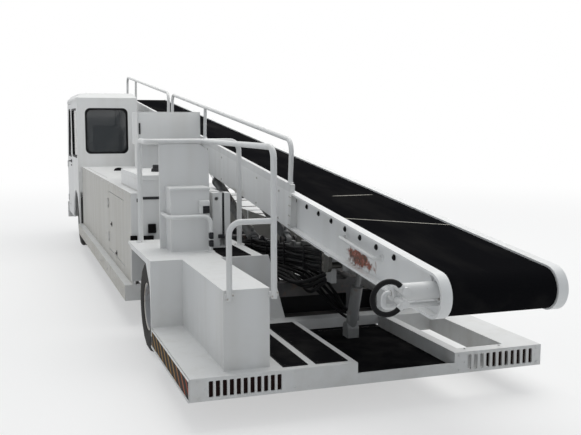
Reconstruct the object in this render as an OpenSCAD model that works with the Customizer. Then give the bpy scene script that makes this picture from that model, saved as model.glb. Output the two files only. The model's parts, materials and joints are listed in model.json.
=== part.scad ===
// Baggage belt loader: low chassis with a left-hand cab, an engine housing,
// a rear platform with a control station, and one long conveyor boom.
// X is to the right, Y is forward and Z is up. Lengths are in millimetres.

/* [Rear platform] */
// Width over the platform and the bumpers
deck_w = 2200; // [2000:10:2400]
// Height of the platform above the ground
deck_z = 298; // [280:1:320]
// Depth of the platform's skirts
skirt_h = 128; // [100:1:150]
// Length of the platform from the rear bumper to the fenders
deck_len = 1178; // [1100:1:1300]
// Thickness of the platform's plate and skirts
deck_plate = 12; // [8:1:16]
// Number of slots in each rear grille
slot_count = 11; // [7:1:13]
// Width of one grille slot
slot_w = 25; // [16:1:27]
// Thickness of the anti-slip mats
mat_t = 4; // [2:1:6]

/* [Well and pod] */
// Left side of the well behind the boom
well_x0 = -124; // [-150:1:-100]
// Right side of the well
well_x1 = 500; // [450:1:520]
// Height of the well's floor
well_z = 210; // [200:1:225]
// Width of the right-hand ledge
ledge_w = 223; // [180:1:260]

/* [Fenders and step] */
// Top of the rear fenders and of the step box
fender_z = 747; // [720:1:800]
// Length of the rear fenders
fender_len = 1022; // [980:1:1100]
// Thickness of the fender plates
fender_t = 20; // [12:1:25]
// Height of the fenders' lips over the rear wheels
lip_h = 40; // [30:1:60]
// Distance from the body's side to the step box
step_in = 213; // [190:1:240]
// Width of the step box
step_w = 264; // [220:1:300]
// Gap between the bumper's face and the step box
step_y0 = 82; // [50:1:120]

/* [Chassis] */
// Distance from the centre line to the middle of each rail
rail_x = 346; // [330:1:360]
// Width of a chassis rail
rail_w = 80; // [60:1:90]
// Bottom of the chassis rails
rail_z0 = 430; // [425:1:450]
// Height of a chassis rail
rail_h = 120; // [100:1:140]
// Thickness of the walls of the rails
rail_wall = 10; // [6:1:14]
// Height of the outriggers that carry the side bodies
outrigger_h = 80; // [60:1:90]
// Distance from the platform's front edge to the rear axle
rear_axle_in = 522; // [505:1:540]
// Place of the front axle ahead of the bumper's face
front_axle_y = 7320; // [7310:1:7330]

/* [Wheels] */
// Radius of a tyre
tyre_r = 330; // [320:1:335]
// Width of a tyre
tyre_w = 190; // [170:1:200]
// Radius of the rim's seat
rim_r = 168; // [150:1:180]
// Distance from the body's side to the tyre's outer face
tyre_inset = 50; // [45:1:60]

/* [Engine housing] */
// Distance from the body's side to the engine housing
housing_in = 62; // [50:1:70]
// Rear face of the engine housing
housing_y0 = 2454; // [2420:1:2480]
// Top of the engine housing
housing_z = 1093; // [1050:1:1120]
// Thickness of the housing's panels
panel_t = 25; // [15:1:30]
// Height of the sills under the side bodies
sill_z0 = 221; // [210:1:240]

/* [Cab] */
// Length of the cab
cab_len = 1837; // [1800:1:1880]
// Height of the cab's roof
cab_z = 2046; // [1980:1:2100]
// Thickness of the cab's walls
cab_wall = 40; // [30:1:45]
// Rear wall of the cab, ahead of the bumper's face
cab_y0 = 6873; // [6865:1:6880]
// Clearance around the door
door_gap = 6; // [5:1:8]
// Thickness of the window glass
glass_t = 6; // [4:1:8]
// Width of the rubber seals
seal_w = 24; // [16:1:30]

/* [Boom] */
// Distance between the end drums
boom_len = 10100; // [9900:10:10200]
// Tilt of the parked boom
boom_tilt = 6.1; // [5.5:0.1:6.5]
// Left face of the boom
boom_x0 = -145; // [-150:1:-140]
// Width over the boom's side members
boom_w = 680; // [665:1:690]
// Thickness of a side member
member_t = 55; // [45:1:60]
// Thickness of a side member's flanges
flange_t = 14; // [8:1:20]
// Thickness of a side member's web
web_t = 8; // [5:1:12]
// Radius of the side members' ends
member_r = 110; // [105:1:120]
// Depth of a side member below the drums' centre line
member_drop = 145; // [140:1:160]
// Start of the guard on the left member, from the rear drum
guard_s = 2000; // [1980:1:2060]
// Height of the guard on the left member
guard_h = 55; // [40:1:70]
// Height of the rear drum's axis above the ground
drum_z = 857; // [850:1:865]
// Place of the rear drum's axis behind the bumper's face
drum_back = 861; // [840:1:880]
// Outer radius of the belt round a drum
belt_r = 102; // [98:1:105]
// Thickness of the belt
belt_t = 8; // [6:1:10]
// Number of shaft holes near the low end
idler_count = 8; // [6:1:8]
// Spacing of the idler rollers
idler_pitch = 219; // [200:1:220]

/* [Hidden] */
$fn = 48;

seat_gap = 0.3;
pin_gap = 0.05;
side_x = deck_w / 2;
skirt_z0 = deck_z - skirt_h;
deck_inner = side_x - deck_plate;
step_x0 = -side_x + step_in;
step_x1 = step_x0 + step_w;
housing_x0 = -side_x + housing_in;

boom_x1 = boom_x0 + boom_w;
boom_cx = (boom_x0 + boom_x1) / 2;
boom_inner0 = boom_x0 + member_t;
boom_inner1 = boom_x1 - member_t;
web_x = boom_inner0 - web_t;
rear_end_y = -drum_back - member_r;
front_end_y = -drum_back + boom_len * cos(boom_tilt) + member_r;
mid_y = (rear_end_y + front_end_y) / 2;

hinge_r = 6;
hinge_pin = 3.5;
hinge_len = 30;
hinge_leaf = 26;
knuckle_gap = 1;
hinge_off = hinge_r + knuckle_gap;

rail_in = rail_x - rail_w / 2;
rail_out = rail_x + rail_w / 2;
rail_z1 = rail_z0 + rail_h;
cab_x0 = -side_x + hinge_r + hinge_off;
cab_x1 = -rail_in;
cab_y1 = cab_y0 + cab_len;
frame_y0 = deck_len + fender_t;
frame_y1 = cab_y1;
sill_z1 = rail_z0 - outrigger_h;
axle_z = tyre_r;

wheel_x1 = side_x - tyre_inset;
wheel_x0 = wheel_x1 - tyre_w;
fender_y1 = deck_len + fender_len;
rear_axle_y = deck_len + rear_axle_in;
fender_in_r = boom_x1 + 3;

white = "white";
black = "#181818";

module from_rear() translate([0, -mid_y, 0]) children();

module slab(x, y, z)
    translate([x[0], y[0], z[0]])
        cube([x[1] - x[0], y[1] - y[0], z[1] - z[0]]);

module both_sides() {
    children();
    mirror([1, 0, 0]) children();
}

// A flat outline in Y and Z, made solid from x[0] to x[1]
module across(x)
    translate([x[0], 0, 0]) rotate([90, 0, 90])
        linear_extrude(x[1] - x[0]) children();

// A flat outline in X and Z, made solid from y[0] to y[1]
module along(y)
    translate([0, y[1], 0]) rotate([90, 0, 0])
        linear_extrude(y[1] - y[0]) children();

module on_boom() translate([0, -drum_back, drum_z]) rotate([boom_tilt, 0, 0]) children();

// A rectangle with round corners, from one corner to the other
module rounded(a, b, r) {
    translate([a[0] + r, a[1]]) square([b[0] - a[0] - 2 * r, b[1] - a[1]]);
    translate([a[0], a[1] + r]) square([b[0] - a[0], b[1] - a[1] - 2 * r]);
    for (x = [a[0] + r, b[0] - r], y = [a[1] + r, b[1] - r])
        translate([x, y]) circle(r);
}

// A round bar from a to b
module bar(a, b, r) {
    d = b - a;
    translate(a) rotate([0, acos(d[2] / norm(d)), atan2(d[1], d[0])])
        cylinder(h = norm(d), r = r);
}

function unit(v) = v / norm(v);

// Length that a bend of radius b takes from each leg at corner i
function bend_cut(points, i, b) =
    i == 0 || i == len(points) - 1 ? 0 :
    b * tan(acos(unit(points[i] - points[i - 1]) * unit(points[i + 1] - points[i])) / 2);

// A quarter or part of a ring that joins leg u to leg v at corner p
module elbow(p, u, v, r, b) {
    turn = acos(u * v);
    n = unit(cross(u, v));
    w = cross(n, u);
    c = p - u * b * tan(turn / 2) + w * b;
    multmatrix([[-w[0], u[0], n[0], c[0]], [-w[1], u[1], n[1], c[1]],
                [-w[2], u[2], n[2], c[2]], [0, 0, 0, 1]])
        rotate_extrude(angle = turn) translate([b, 0]) circle(r);
}

// A tube of radius r through the given points, with bends of radius b
module tube(points, r, b) {
    last = len(points) - 1;
    for (i = [0 : last - 1]) {
        u = unit(points[i + 1] - points[i]);
        bar(points[i] + u * bend_cut(points, i, b), points[i + 1] - u * bend_cut(points, i + 1, b), r);
    }
    for (i = [1 : 1 : last - 1])
        elbow(points[i], unit(points[i] - points[i - 1]), unit(points[i + 1] - points[i]), r, b);
}

// Hinges: the fixed part has two knuckles and the pin, the moving part one knuckle.
// The pin's middle is at p, it lies along axis, and leaf points to the panel it holds.

module on_hinge(p, axis, leaf)
    multmatrix([[leaf[0], axis[1] * leaf[2] - axis[2] * leaf[1], axis[0], p[0]],
                [leaf[1], axis[2] * leaf[0] - axis[0] * leaf[2], axis[1], p[1]],
                [leaf[2], axis[0] * leaf[1] - axis[1] * leaf[0], axis[2], p[2]],
                [0, 0, 0, 1]])
        children();

module hinge_leaf(len) {
    cylinder(h = len, r = hinge_r);
    cube([hinge_leaf, hinge_r, len]);
    translate([hinge_leaf / 2, 0, 0]) cube([hinge_leaf / 2, hinge_off, len]);
}

module hinge_fixed(p, axis, leaf)
    on_hinge(p, axis, leaf) {
        for (z = [-1.5 * hinge_len, 0.5 * hinge_len + knuckle_gap]) translate([0, 0, z])
            mirror([1, 0, 0]) hinge_leaf(hinge_len - knuckle_gap);
        translate([0, 0, -hinge_len]) cylinder(h = 2 * hinge_len, r = hinge_pin);
    }

module hinge_moving(p, axis, leaf)
    on_hinge(p, axis, leaf) translate([0, 0, -0.5 * hinge_len]) difference() {
        hinge_leaf(hinge_len);
        translate([0, 0, -1]) cylinder(h = hinge_len + 2, r = hinge_pin + pin_gap);
    }

// Chassis
cross_y = [2600, 3700, 4800, 5900, 6650];
beam_y1 = frame_y0 + 102;
beam_z0 = 230;
lift_foot_y = 2600;
lift_foot_z = 640;
rest_y = 6150;
lift_x = [boom_cx - 150, boom_cx + 150];
lug_t = 20;
lift_barrel_r = 45;
lift_pin_r = 16;
lift_foot_r = 32;
lift_lug_x = lift_barrel_r + 5 + lug_t / 2;

module rail()
    difference() {
        slab([-rail_out, -rail_in], [frame_y0, frame_y1], [rail_z0, rail_z1]);
        slab([-rail_out + rail_wall, -rail_in + 1], [frame_y0 - 1, frame_y1 + 1],
             [rail_z0 + rail_wall, rail_z1 - rail_wall]);
    }

// Rear faces of the cross members between the rails, and of the outriggers
tie_w = 80;
tie_y = [frame_y0, lift_foot_y - 60, 3700, 4800, rest_y, frame_y1 - tie_w];

module chassis_frame() color("#404346") {
    both_sides() rail();
    for (y = tie_y)
        slab([-rail_out + rail_wall, rail_out - rail_wall], [y, y + tie_w],
             [rail_z0 + rail_wall, rail_z1 - rail_wall]);
    for (y = cross_y)
        slab([housing_x0 + panel_t, -housing_x0 - panel_t], [y, y + tie_w], [sill_z1, rail_z0]);
    slab([-side_x + fender_t, side_x - fender_t], [frame_y0, beam_y1], [beam_z0, deck_z]);
    slab([plate_foot_x + 5, fender_in_r], [deck_len, frame_y0], [beam_z0, deck_z]);
    both_sides() slab([-rail_out, -rail_in], [frame_y0, beam_y1], [deck_z, rail_z0]);
    for (x = lift_x) {
        for (side = [-1, 1])
            across([x + side * lift_lug_x - lug_t / 2, x + side * lift_lug_x + lug_t / 2])
                lift_foot_profile();
        bar([x - lift_lug_x, lift_foot_y, lift_foot_z], [x + lift_lug_x, lift_foot_y, lift_foot_z],
            lift_pin_r);
    }
    slab([lift_x[0] - lift_lug_x - lug_t / 2, lift_x[1] + lift_lug_x + lug_t / 2],
         [lift_foot_y - 50, lift_foot_y + 50], [rail_z1 - rail_wall, rail_z1 + 10]);
}

module lift_foot_profile() {
    translate([lift_foot_y, lift_foot_z]) circle(lift_foot_r);
    translate([lift_foot_y - lift_foot_r, rail_z1])
        square([2 * lift_foot_r, lift_foot_z - rail_z1]);
}

// Rear platform
bumper_notch_z = 235;
well_y1 = deck_len - 118;
pod_y0 = 83;
pod_y1 = well_y1 - 60;
pod_x0 = well_x1 + 62;
ledge_x0 = side_x - ledge_w;
grille_left = [-side_x + 102, -side_x + 527];
grille_right = [pod_x0 + 17, side_x - 53];
grille_z = [skirt_z0 + 18, deck_z - deck_plate - 8];

module grille_slots(x)
    for (i = [0 : slot_count - 1]) {
        c = x[0] + (i + 0.5) * (x[1] - x[0]) / slot_count;
        along([-1, deck_plate + 1])
            rounded([c - slot_w / 2, grille_z[0]], [c + slot_w / 2, grille_z[1]], 6);
    }

module rear_deck() color(white) {
    difference() {
        union() {
            slab([-side_x, side_x], [0, deck_plate], [skirt_z0, deck_z]);
            slab([-side_x, side_x], [well_y1, deck_len], [beam_z0, deck_z]);
            slab([-side_x, well_x0], [0, deck_len], [deck_z - deck_plate, deck_z]);
            slab([ledge_x0, side_x], [0, deck_len], [deck_z - deck_plate, deck_z]);
            slab([well_x1, pod_x0], [0, well_y1], [deck_z - deck_plate, deck_z]);
            slab([well_x1, ledge_x0], [0, pod_y0], [deck_z - deck_plate, deck_z]);
            slab([well_x1, ledge_x0], [pod_y1, well_y1], [deck_z - deck_plate, deck_z]);
            slab([-side_x + 6, -deck_inner + 6], [0, deck_len], [skirt_z0, deck_z]);
            slab([deck_inner, side_x], [0, deck_len], [skirt_z0, deck_z]);
            for (x = [well_x0 - deck_plate, well_x1, pod_x0 - deck_plate, ledge_x0])
                slab([x, x + deck_plate], [0, well_y1 + deck_plate], [skirt_z0, deck_z]);
            slab([well_x0 - deck_plate, well_x1 + deck_plate], [0, well_y1],
                 [well_z - deck_plate, well_z]);
            for (y = [pod_y0 - deck_plate, pod_y1])
                slab([pod_x0, ledge_x0], [y, y + deck_plate], [skirt_z0, deck_z]);
        }
        slab([well_x0, well_x1], [-1, deck_plate + 1], [bumper_notch_z, deck_z + 1]);
        grille_slots(grille_left);
        grille_slots(grille_right);
        slab([-side_x - 1, -side_x + 6], [-1, deck_len + 1], [0, deck_z + 1]);
    }
}

// Left and right edges of both mats together, and of each mat
mats_x = [step_x1 + 67, well_x0 - 42];
mats_w = mats_x[1] - mats_x[0];
mat_x = [[mats_x[0], mats_x[0] + 0.38 * mats_w], [mats_x[1] - 0.5 * mats_w, mats_x[1]]];

module deck_mats() color(black) {
    for (m = mat_x) slab(m, [50, well_y1 - 40], [deck_z, deck_z + mat_t]);
    slab([well_x0 + 10, well_x1 - 10], [deck_plate + 10, well_y1 - 10], [well_z, well_z + mat_t]);
}

module hazard_board() color("#c8641e")
    slab([-side_x, -side_x + 6], [8, deck_len - 8], [skirt_z0 + 8, deck_z - 8]);

module rear_lamps() color("#8a1a14")
    for (x = [[grille_left[0] - 4, grille_left[1] + 4], [ledge_x0 - 130, ledge_x0 - 15],
              [ledge_x0 + deck_plate + 3, grille_right[1] + 4]])
        slab(x, [deck_plate, deck_plate + 45], [grille_z[0] - 4, grille_z[1] + 4]);

// Rear fenders, step box and control station. A fender's side is open over the wheel.
module fender_side(x)
    across(x)
        polygon([[frame_y0, fender_z], [frame_y0, axle_z + 94], [frame_y0 + 22, axle_z + 241],
                 [frame_y0 + 168, fender_z - lip_h], [fender_y1 - 157, fender_z - lip_h],
                 [fender_y1 - 57, fender_z - fender_t], [fender_y1, fender_z - fender_t],
                 [fender_y1, fender_z]]);

module fender_common(x0, x1) {
    slab([x0, x1], [frame_y0, fender_y1], [fender_z - fender_t, fender_z]);
    slab([x0, x1], [fender_y1 - fender_t, fender_y1], [rail_z0, fender_z - fender_t]);
}

plate_top_x = -283;
plate_foot_x = -165;
fender_in_l = step_x1 + 23;
strip_x = [plate_top_x - 117, plate_top_x - 37];
bridge_y = [1500, 1790];

module rear_fenders() color(white) {
    fender_side([-side_x, -side_x + fender_t]);
    fender_common(-side_x + fender_t, fender_in_l);
    slab([fender_in_l - fender_t, fender_in_l], [frame_y0, fender_y1 - fender_t],
         [rail_z0, fender_z - fender_t]);
    slab(strip_x, [frame_y0, fender_y1], [fender_z - fender_t, fender_z]);
    slab([strip_x[0], strip_x[0] + fender_t], [frame_y0, fender_y1], [rail_z1, fender_z - fender_t]);
    slab([fender_in_l, strip_x[0]], bridge_y, [fender_z - fender_t, fender_z]);
    along([deck_len, frame_y0])
        polygon([[-side_x, deck_z - 58], [plate_foot_x, deck_z - 58],
                 [plate_foot_x, deck_z], [plate_top_x, fender_z], [-side_x, fender_z]]);
    fender_side([side_x - fender_t, side_x]);
    fender_common(fender_in_r + fender_t, side_x - fender_t);
    slab([fender_in_r, fender_in_r + fender_t], [frame_y0, fender_y1], [rail_z0, fender_z]);
    slab([fender_in_r, side_x], [deck_len, frame_y0], [deck_z - 58, fender_z]);
}

module step_box() color(white)
    slab([step_x0, step_x1], [step_y0, deck_len], [deck_z, fender_z]);

console_x = [step_x0 - 6, step_x1 + 8];
console_y = [1520, 1720];
console_z = 1195;
back_x = [console_x[0] - 42, console_x[1] + 45];
back_t = 20;
back_r = 100;
channel_x = [console_x[1] + 41, console_x[1] + 172];
channel_y = [1600, 1700];
channel_z = 1150;

rail_tube = 19;
rail_top = 1520;

// Bend radius of the station's rails, and how much slimmer a joined tube is
rail_bend = 70;
post_less = 1.5;
rail_y = console_y[1] + back_t / 2;
post_x = step_x1 + rail_tube;
back_z = rail_top - rail_tube;

module console() color(white) {
    slab(console_x, console_y, [fender_z, console_z]);
    along([console_y[1], console_y[1] + back_t]) {
        translate([back_x[0], fender_z]) square([back_x[1] - back_x[0] - back_r, back_z - fender_z]);
        translate([back_x[0], fender_z]) square([back_x[1] - back_x[0], back_z - back_r - fender_z]);
        translate([back_x[1] - back_r, back_z - back_r]) circle(back_r);
    }
    difference() {
        slab(channel_x, channel_y, [fender_z, channel_z]);
        slab([channel_x[0] + 54, channel_x[0] + 96], [channel_y[0] - 1, channel_y[1] - 15],
             [fender_z + 15, channel_z + 1]);
        along([channel_y[0] - 1, channel_y[1] - 15])
            translate([channel_x[0] + 30, channel_z - 42]) circle(14);
    }
}

module switch_box() color("#8a8c8e") {
    slab([console_x[1] - 80, console_x[1] - 10], [console_y[0] - 45, console_y[0]],
         [console_z - 178, console_z - 90]);
    slab([channel_x[0] - 22, channel_x[0]], [channel_y[0] + 10, channel_y[1] - 20],
         [fender_z + 30, fender_z + 230]);
}

module station_rails() color(white) {
    tube([[-side_x + 85, 2110, fender_z], [-side_x + 85, 2110, rail_top], [-side_x + 85, rail_y, rail_top],
          [strip_x[1] - rail_tube, rail_y, rail_top], [strip_x[1] - rail_tube, rail_y, fender_z]],
         rail_tube, rail_bend);
    tube([[post_x, step_y0 - rail_tube, 690], [post_x, step_y0 - rail_tube, rail_top],
          [post_x, rail_y, rail_top]], rail_tube - post_less, rail_bend);
    tube([[step_x0 + 30, step_y0 - rail_tube, 690], [step_x0 + 30, step_y0 - rail_tube, 1120],
          [post_x, step_y0 - rail_tube, 1120]], rail_tube - 2 * post_less, rail_bend);
    for (x = [step_x0 + 30, post_x])
        slab([x - 24, x + 24], [step_y0 - rail_tube, step_y0], [700, 730]);
    tube([[back_x[0] + rail_tube, console_y[1], 1000], [back_x[0] + rail_tube, 1450, 1000],
          [post_x - 20, 1450, 1000], [post_x - 20, 1450, fender_z]], 14, 50);
}

// Side bodies
sill_w = 132;

module side_sills() color(white)
    both_sides()
        slab([-side_x, -side_x + sill_w], [housing_y0, cab_y0], [sill_z0, sill_z1]);

door_y = [2900, 4000];
door_z = [430, 1000];
lid_x = [housing_x0 + 48, cab_x1 - 64];
lid_y = [4500, 6600];

rear_box_x = [housing_x0 + 78, cab_x1 - 114];
rear_box_y1 = 3600;
rear_box_z = 1233;

lid_hinge_y = [lid_y[0] + 300, lid_y[1] - 300];
door_hinges = [door_z[0] + 120, door_z[1] - 120];

module engine_housing() color(white) {
    difference() {
        union() {
            slab([housing_x0, housing_x0 + panel_t], [housing_y0, cab_y0], [sill_z1, housing_z]);
            slab([cab_x1 - panel_t, cab_x1], [housing_y0, cab_y0], [rail_z1, housing_z]);
            slab([housing_x0, cab_x1], [housing_y0, cab_y0], [housing_z - panel_t, housing_z]);
            for (y = [housing_y0, cab_y0 - panel_t]) {
                slab([housing_x0, -rail_out], [y, y + panel_t], [rail_z0, housing_z]);
                slab([-rail_out, cab_x1], [y, y + panel_t], [rail_z1, housing_z]);
            }
            slab(rear_box_x, [housing_y0, rear_box_y1], [housing_z - 1, rear_box_z]);
        }
        slab([housing_x0 - 1, housing_x0 + panel_t + 1], door_y, door_z);
        slab(lid_x, lid_y, [housing_z - panel_t - 1, housing_z + 1]);
    }
    for (y = lid_hinge_y) hinge_fixed([lid_x[1], y, housing_z + hinge_off], [0, -1, 0], [-1, 0, 0]);
    for (z = door_hinges)
        hinge_fixed([housing_x0 - hinge_off, door_y[1], z], [0, 0, 1], [0, -1, 0]);
}

module engine_lid() color(white) {
    slab([lid_x[0] + door_gap, lid_x[1] - door_gap], [lid_y[0] + door_gap, lid_y[1] - door_gap],
         [housing_z - panel_t, housing_z]);
    for (y = lid_hinge_y) hinge_moving([lid_x[1], y, housing_z + hinge_off], [0, -1, 0], [-1, 0, 0]);
}

module engine_door() color(white) {
    slab([housing_x0, housing_x0 + panel_t], [door_y[0] + door_gap, door_y[1] - door_gap],
         [door_z[0] + door_gap, door_z[1] - door_gap]);
    for (z = door_hinges)
        hinge_moving([housing_x0 - hinge_off, door_y[1], z], [0, 0, 1], [0, -1, 0]);
}

engine_y = [4700, 5500];

module engine_block() color("#505458")
    slab([housing_x0 + 138, -rail_out], engine_y, [rail_z0, housing_z - 133]);

locker_x = [housing_x0 + 256, boom_x0 - 32];
locker_y = [3720, 4070];
locker_z = [1450, 1761];

module locker() color(white) {
    slab(locker_x, locker_y, locker_z);
    slab([locker_x[0] + 20, locker_x[1]], [locker_y[0] + 60, locker_y[1]], [housing_z, locker_z[0]]);
}

tank_x = [rail_out + 144, side_x - 62];
tank_z1 = 700;
tank_y = [[housing_y0, 4500], [4560, cab_y0 - panel_t]];

module side_tanks() color(white)
    for (y = tank_y) slab(tank_x, y, [rail_z0, tank_z1]);

steer_reach = 447;
wheel_front_y1 = front_axle_y + steer_reach + 23;
front_arch_r = 425;
house_z = 760;
fender_in_f = rail_out + 94;

module front_arch_side(x)
    across(x) difference() {
        translate([cab_y0, sill_z1]) square([wheel_front_y1 - cab_y0, house_z - sill_z1]);
        translate([front_axle_y, axle_z]) circle(front_arch_r, $fn = 96);
    }

module front_fender() color(white) {
    front_arch_side([side_x - fender_t, side_x]);
    slab([fender_in_f, side_x], [cab_y0, wheel_front_y1], [house_z, house_z + fender_t]);
    slab([fender_in_f, side_x], [wheel_front_y1, wheel_front_y1 + fender_t], [sill_z1, house_z + fender_t]);
    slab([fender_in_f, fender_in_f + fender_t], [cab_y0, wheel_front_y1], [rail_z1, house_z]);
    front_deck();
}

module front_deck() {
    slab([cab_x1, side_x], [wheel_front_y1 + fender_t, cab_y1], [rail_z1, rail_z1 + 20]);
    slab([side_x - fender_t, side_x], [wheel_front_y1 + fender_t, cab_y1], [sill_z1, rail_z1]);
}

// Cab
roof_cut = 60;
edge_cut = 60;
screen_y = 8430;
waist_z = 1120;
floor_z = sill_z1;

module cab_outline(w)
    polygon([[cab_y0 + w, house_z + w], [cab_y0 + w, cab_z - roof_cut - w * 0.4],
             [cab_y0 + roof_cut + w * 0.4, cab_z - w], [screen_y - w * 0.6, cab_z - w],
             [cab_y1 - 30 - w, waist_z], [cab_y1 - w, waist_z - 40], [cab_y1 - w, floor_z + w],
             [wheel_front_y1 + w, floor_z + w], [wheel_front_y1 + w, house_z + w]]);

// The cab's section across, with its long roof edges cut, smaller all round by w
module cab_section(w)
    polygon([[cab_x0 + w, floor_z - 1], [cab_x1 - w, floor_z - 1],
             [cab_x1 - w, cab_z - edge_cut - w * 0.4], [cab_x1 - edge_cut - w * 0.4, cab_z - w],
             [cab_x0 + edge_cut + w * 0.4, cab_z - w], [cab_x0 + w, cab_z - edge_cut - w * 0.4]]);

module cab_shape(w)
    intersection() {
        across([cab_x0 - 1, cab_x1 + 1]) cab_outline(w);
        along([cab_y0 - 1, cab_y1 + 1]) cab_section(w);
    }

// The door's outline, smaller all round by g
module door_outline(g)
    polygon([[wheel_front_y1 + 70 + g, 470 + g], [cab_y1 - 110 - g, 470 + g],
             [cab_y1 - 110 - g, waist_z], [screen_y - 90 - g, 1930 - g],
             [wheel_front_y1 + 70 + g, 1930 - g]]);

module door_window(g)
    polygon([[wheel_front_y1 + 140 + g, 1180 + g], [cab_y1 - 200 - g, 1180 + g],
             [screen_y - 150 - g, 1860 - g], [wheel_front_y1 + 140 + g, 1860 - g]]);

rear_window = [[-985, 1259], [-433, 1854]];
side_window = [[cab_y0 + 90, 1200], [wheel_front_y1 - 20, 1854]];
right_window = [[cab_y0 + 90, 1200], [8330, 1854]];

module screen_frame()
    translate([0, cab_y1 - 30, waist_z])
        rotate([atan2(cab_y1 - 30 - screen_y, cab_z - waist_z), 0, 0]) children();

screen_h = norm([cab_y1 - 30 - screen_y, cab_z - waist_z]);

module shrunk(w, g, r) rounded([w[0][0] + g, w[0][1] + g], [w[1][0] - g, w[1][1] - g], r);

module window_shapes(g, depth) {
    along([cab_y0 + cab_wall / 2 - depth / 2, cab_y0 + cab_wall / 2 + depth / 2])
        shrunk(rear_window, g, 70);
    across([cab_x0 + cab_wall / 2 - depth / 2, cab_x0 + cab_wall / 2 + depth / 2])
        shrunk(side_window, g, 50);
    across([cab_x1 - cab_wall / 2 - depth / 2, cab_x1 - cab_wall / 2 + depth / 2])
        shrunk(right_window, g, 50);
    screen_frame() along([-cab_wall / 2 - depth / 2, -cab_wall / 2 + depth / 2])
        rounded([cab_x0 + 75 + g, 60 + g], [cab_x1 - 75 - g, screen_h - 110 - g], 40);
}

// The room that the chassis rail takes from the cab, larger by w
module rail_notch(w)
    slab([-rail_out - w, cab_x1 + 1], [wheel_front_y1 - 1, cab_y1 + 1], [0, rail_z1 + w]);

door_hinge_y = cab_y1 - 110;
door_hinge_z = [560, 1060];

module cab_body()
    difference() {
        union() {
            cab_shape(0);
            front_arch_side([cab_x0, cab_x0 + fender_t]);
        }
        difference() {
            cab_shape(cab_wall);
            rail_notch(cab_wall);
        }
        rail_notch(0);
        across([cab_x0 - 1, cab_x0 + cab_wall + 1]) door_outline(0);
        window_shapes(0, cab_wall + 30);
    }

// Where the cab's panels meet
roof_seam = cab_z - roof_cut - 0.4 * cab_wall;
cab_span = [cab_x0 - 1, cab_x1 + 1];

function screen_in(z) = cab_y1 - 30 - cab_wall
    - (z - waist_z) * (cab_y1 - 30 - 0.4 * cab_wall - screen_y) / (cab_z - cab_wall - waist_z);

module back_zone() slab(cab_span, [cab_y0 - 1, cab_y0 + cab_wall], [seat_floor, cab_z + 1]);

module roof_zone()
    across(cab_span)
        polygon([[cab_y0 + cab_wall, roof_seam], [cab_y0 + cab_wall, cab_z + 1],
                 [cab_y1 + 1, cab_z + 1], [cab_y1 + 1, roof_seam]]);

module front_zone()
    across(cab_span)
        polygon([[screen_in(roof_seam), roof_seam], [screen_in(waist_z), waist_z],
                 [cab_y1 - cab_wall, waist_z - 40], [cab_y1 - cab_wall, floor_z + cab_wall],
                 [cab_y1 + 1, floor_z + cab_wall], [cab_y1 + 1, roof_seam]]);

module floor_zone() {
    across(cab_span)
        polygon([[cab_y0 - 1, floor_z - 1], [cab_y1 + 1, floor_z - 1], [cab_y1 + 1, floor_z + cab_wall],
                 [wheel_front_y1 + cab_wall, floor_z + cab_wall], [wheel_front_y1 + cab_wall, seat_floor],
                 [cab_y0 - 1, seat_floor]]);
    rail_notch(cab_wall);
}

module cab_back() color(white)
    intersection() {
        cab_body();
        back_zone();
    }

module cab_roof() color(white)
    intersection() {
        cab_body();
        roof_zone();
    }

module cab_front() color(white)
    difference() {
        intersection() {
            cab_body();
            front_zone();
        }
        rail_notch(cab_wall);
    }

module cab_floor() color(white)
    intersection() {
        cab_body();
        floor_zone();
    }

module cab_sides() color(white) {
    difference() {
        cab_body();
        back_zone();
        roof_zone();
        front_zone();
        floor_zone();
    }
    for (z = door_hinge_z) hinge_fixed([cab_x0 - hinge_off, door_hinge_y, z], [0, 0, 1], [0, -1, 0]);
}

module cab_seals() color(black)
    difference() {
        window_shapes(0, cab_wall);
        window_shapes(seal_w, cab_wall + 20);
    }

module cab_glass() color("#50606a80") window_shapes(seal_w, glass_t);

module cab_door() color(white) {
    difference() {
        across([cab_x0, cab_x0 + cab_wall]) door_outline(door_gap);
        across([cab_x0 - 1, cab_x0 + cab_wall + 1]) door_window(0);
    }
    for (z = door_hinge_z) hinge_moving([cab_x0 - hinge_off, door_hinge_y, z], [0, 0, 1], [0, -1, 0]);
}

module door_seal() color(black)
    difference() {
        across([cab_x0 + 4, cab_x0 + cab_wall - 4]) door_window(0);
        across([cab_x0 - 1, cab_x0 + cab_wall + 1]) door_window(seal_w);
    }

module door_glass() color("#50606a80")
    across([cab_x0 + cab_wall / 2 - glass_t / 2, cab_x0 + cab_wall / 2 + glass_t / 2])
        door_window(seal_w);

seat_x = [-900, -480];
seat_y = [7060, 7520];
seat_floor = house_z + cab_wall;

module seat_base() color(black)
    slab([seat_x[0] + 40, seat_x[1] - 40], [seat_y[0] + 40, seat_y[1] - 60],
         [seat_floor, seat_floor + 220]);

module seat_pads() color("#202226") {
    slab(seat_x, seat_y, [seat_floor + 220, seat_floor + 330]);
    slab(seat_x, [seat_y[0] - 100, seat_y[0]], [seat_floor + 260, seat_floor + 850]);
}

steer_x = -690;
steer_y = cab_y1 - 650;
steer_z = 1245;
dash_y = [cab_y1 - 370, cab_y1 - 150];
dash_z = [700, 1080];

module dash() color("#2a2c30") {
    slab([cab_x0 + cab_wall + 20, cab_x1 - cab_wall], dash_y, dash_z);
    slab([steer_x - 90, steer_x + 90], [dash_y[0] + 40, dash_y[1] - 20], [floor_z + cab_wall, dash_z[0]]);
    bar([steer_x, dash_y[0] + 10, dash_z[1] - 80], [steer_x, steer_y, steer_z], 24);
}

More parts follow.
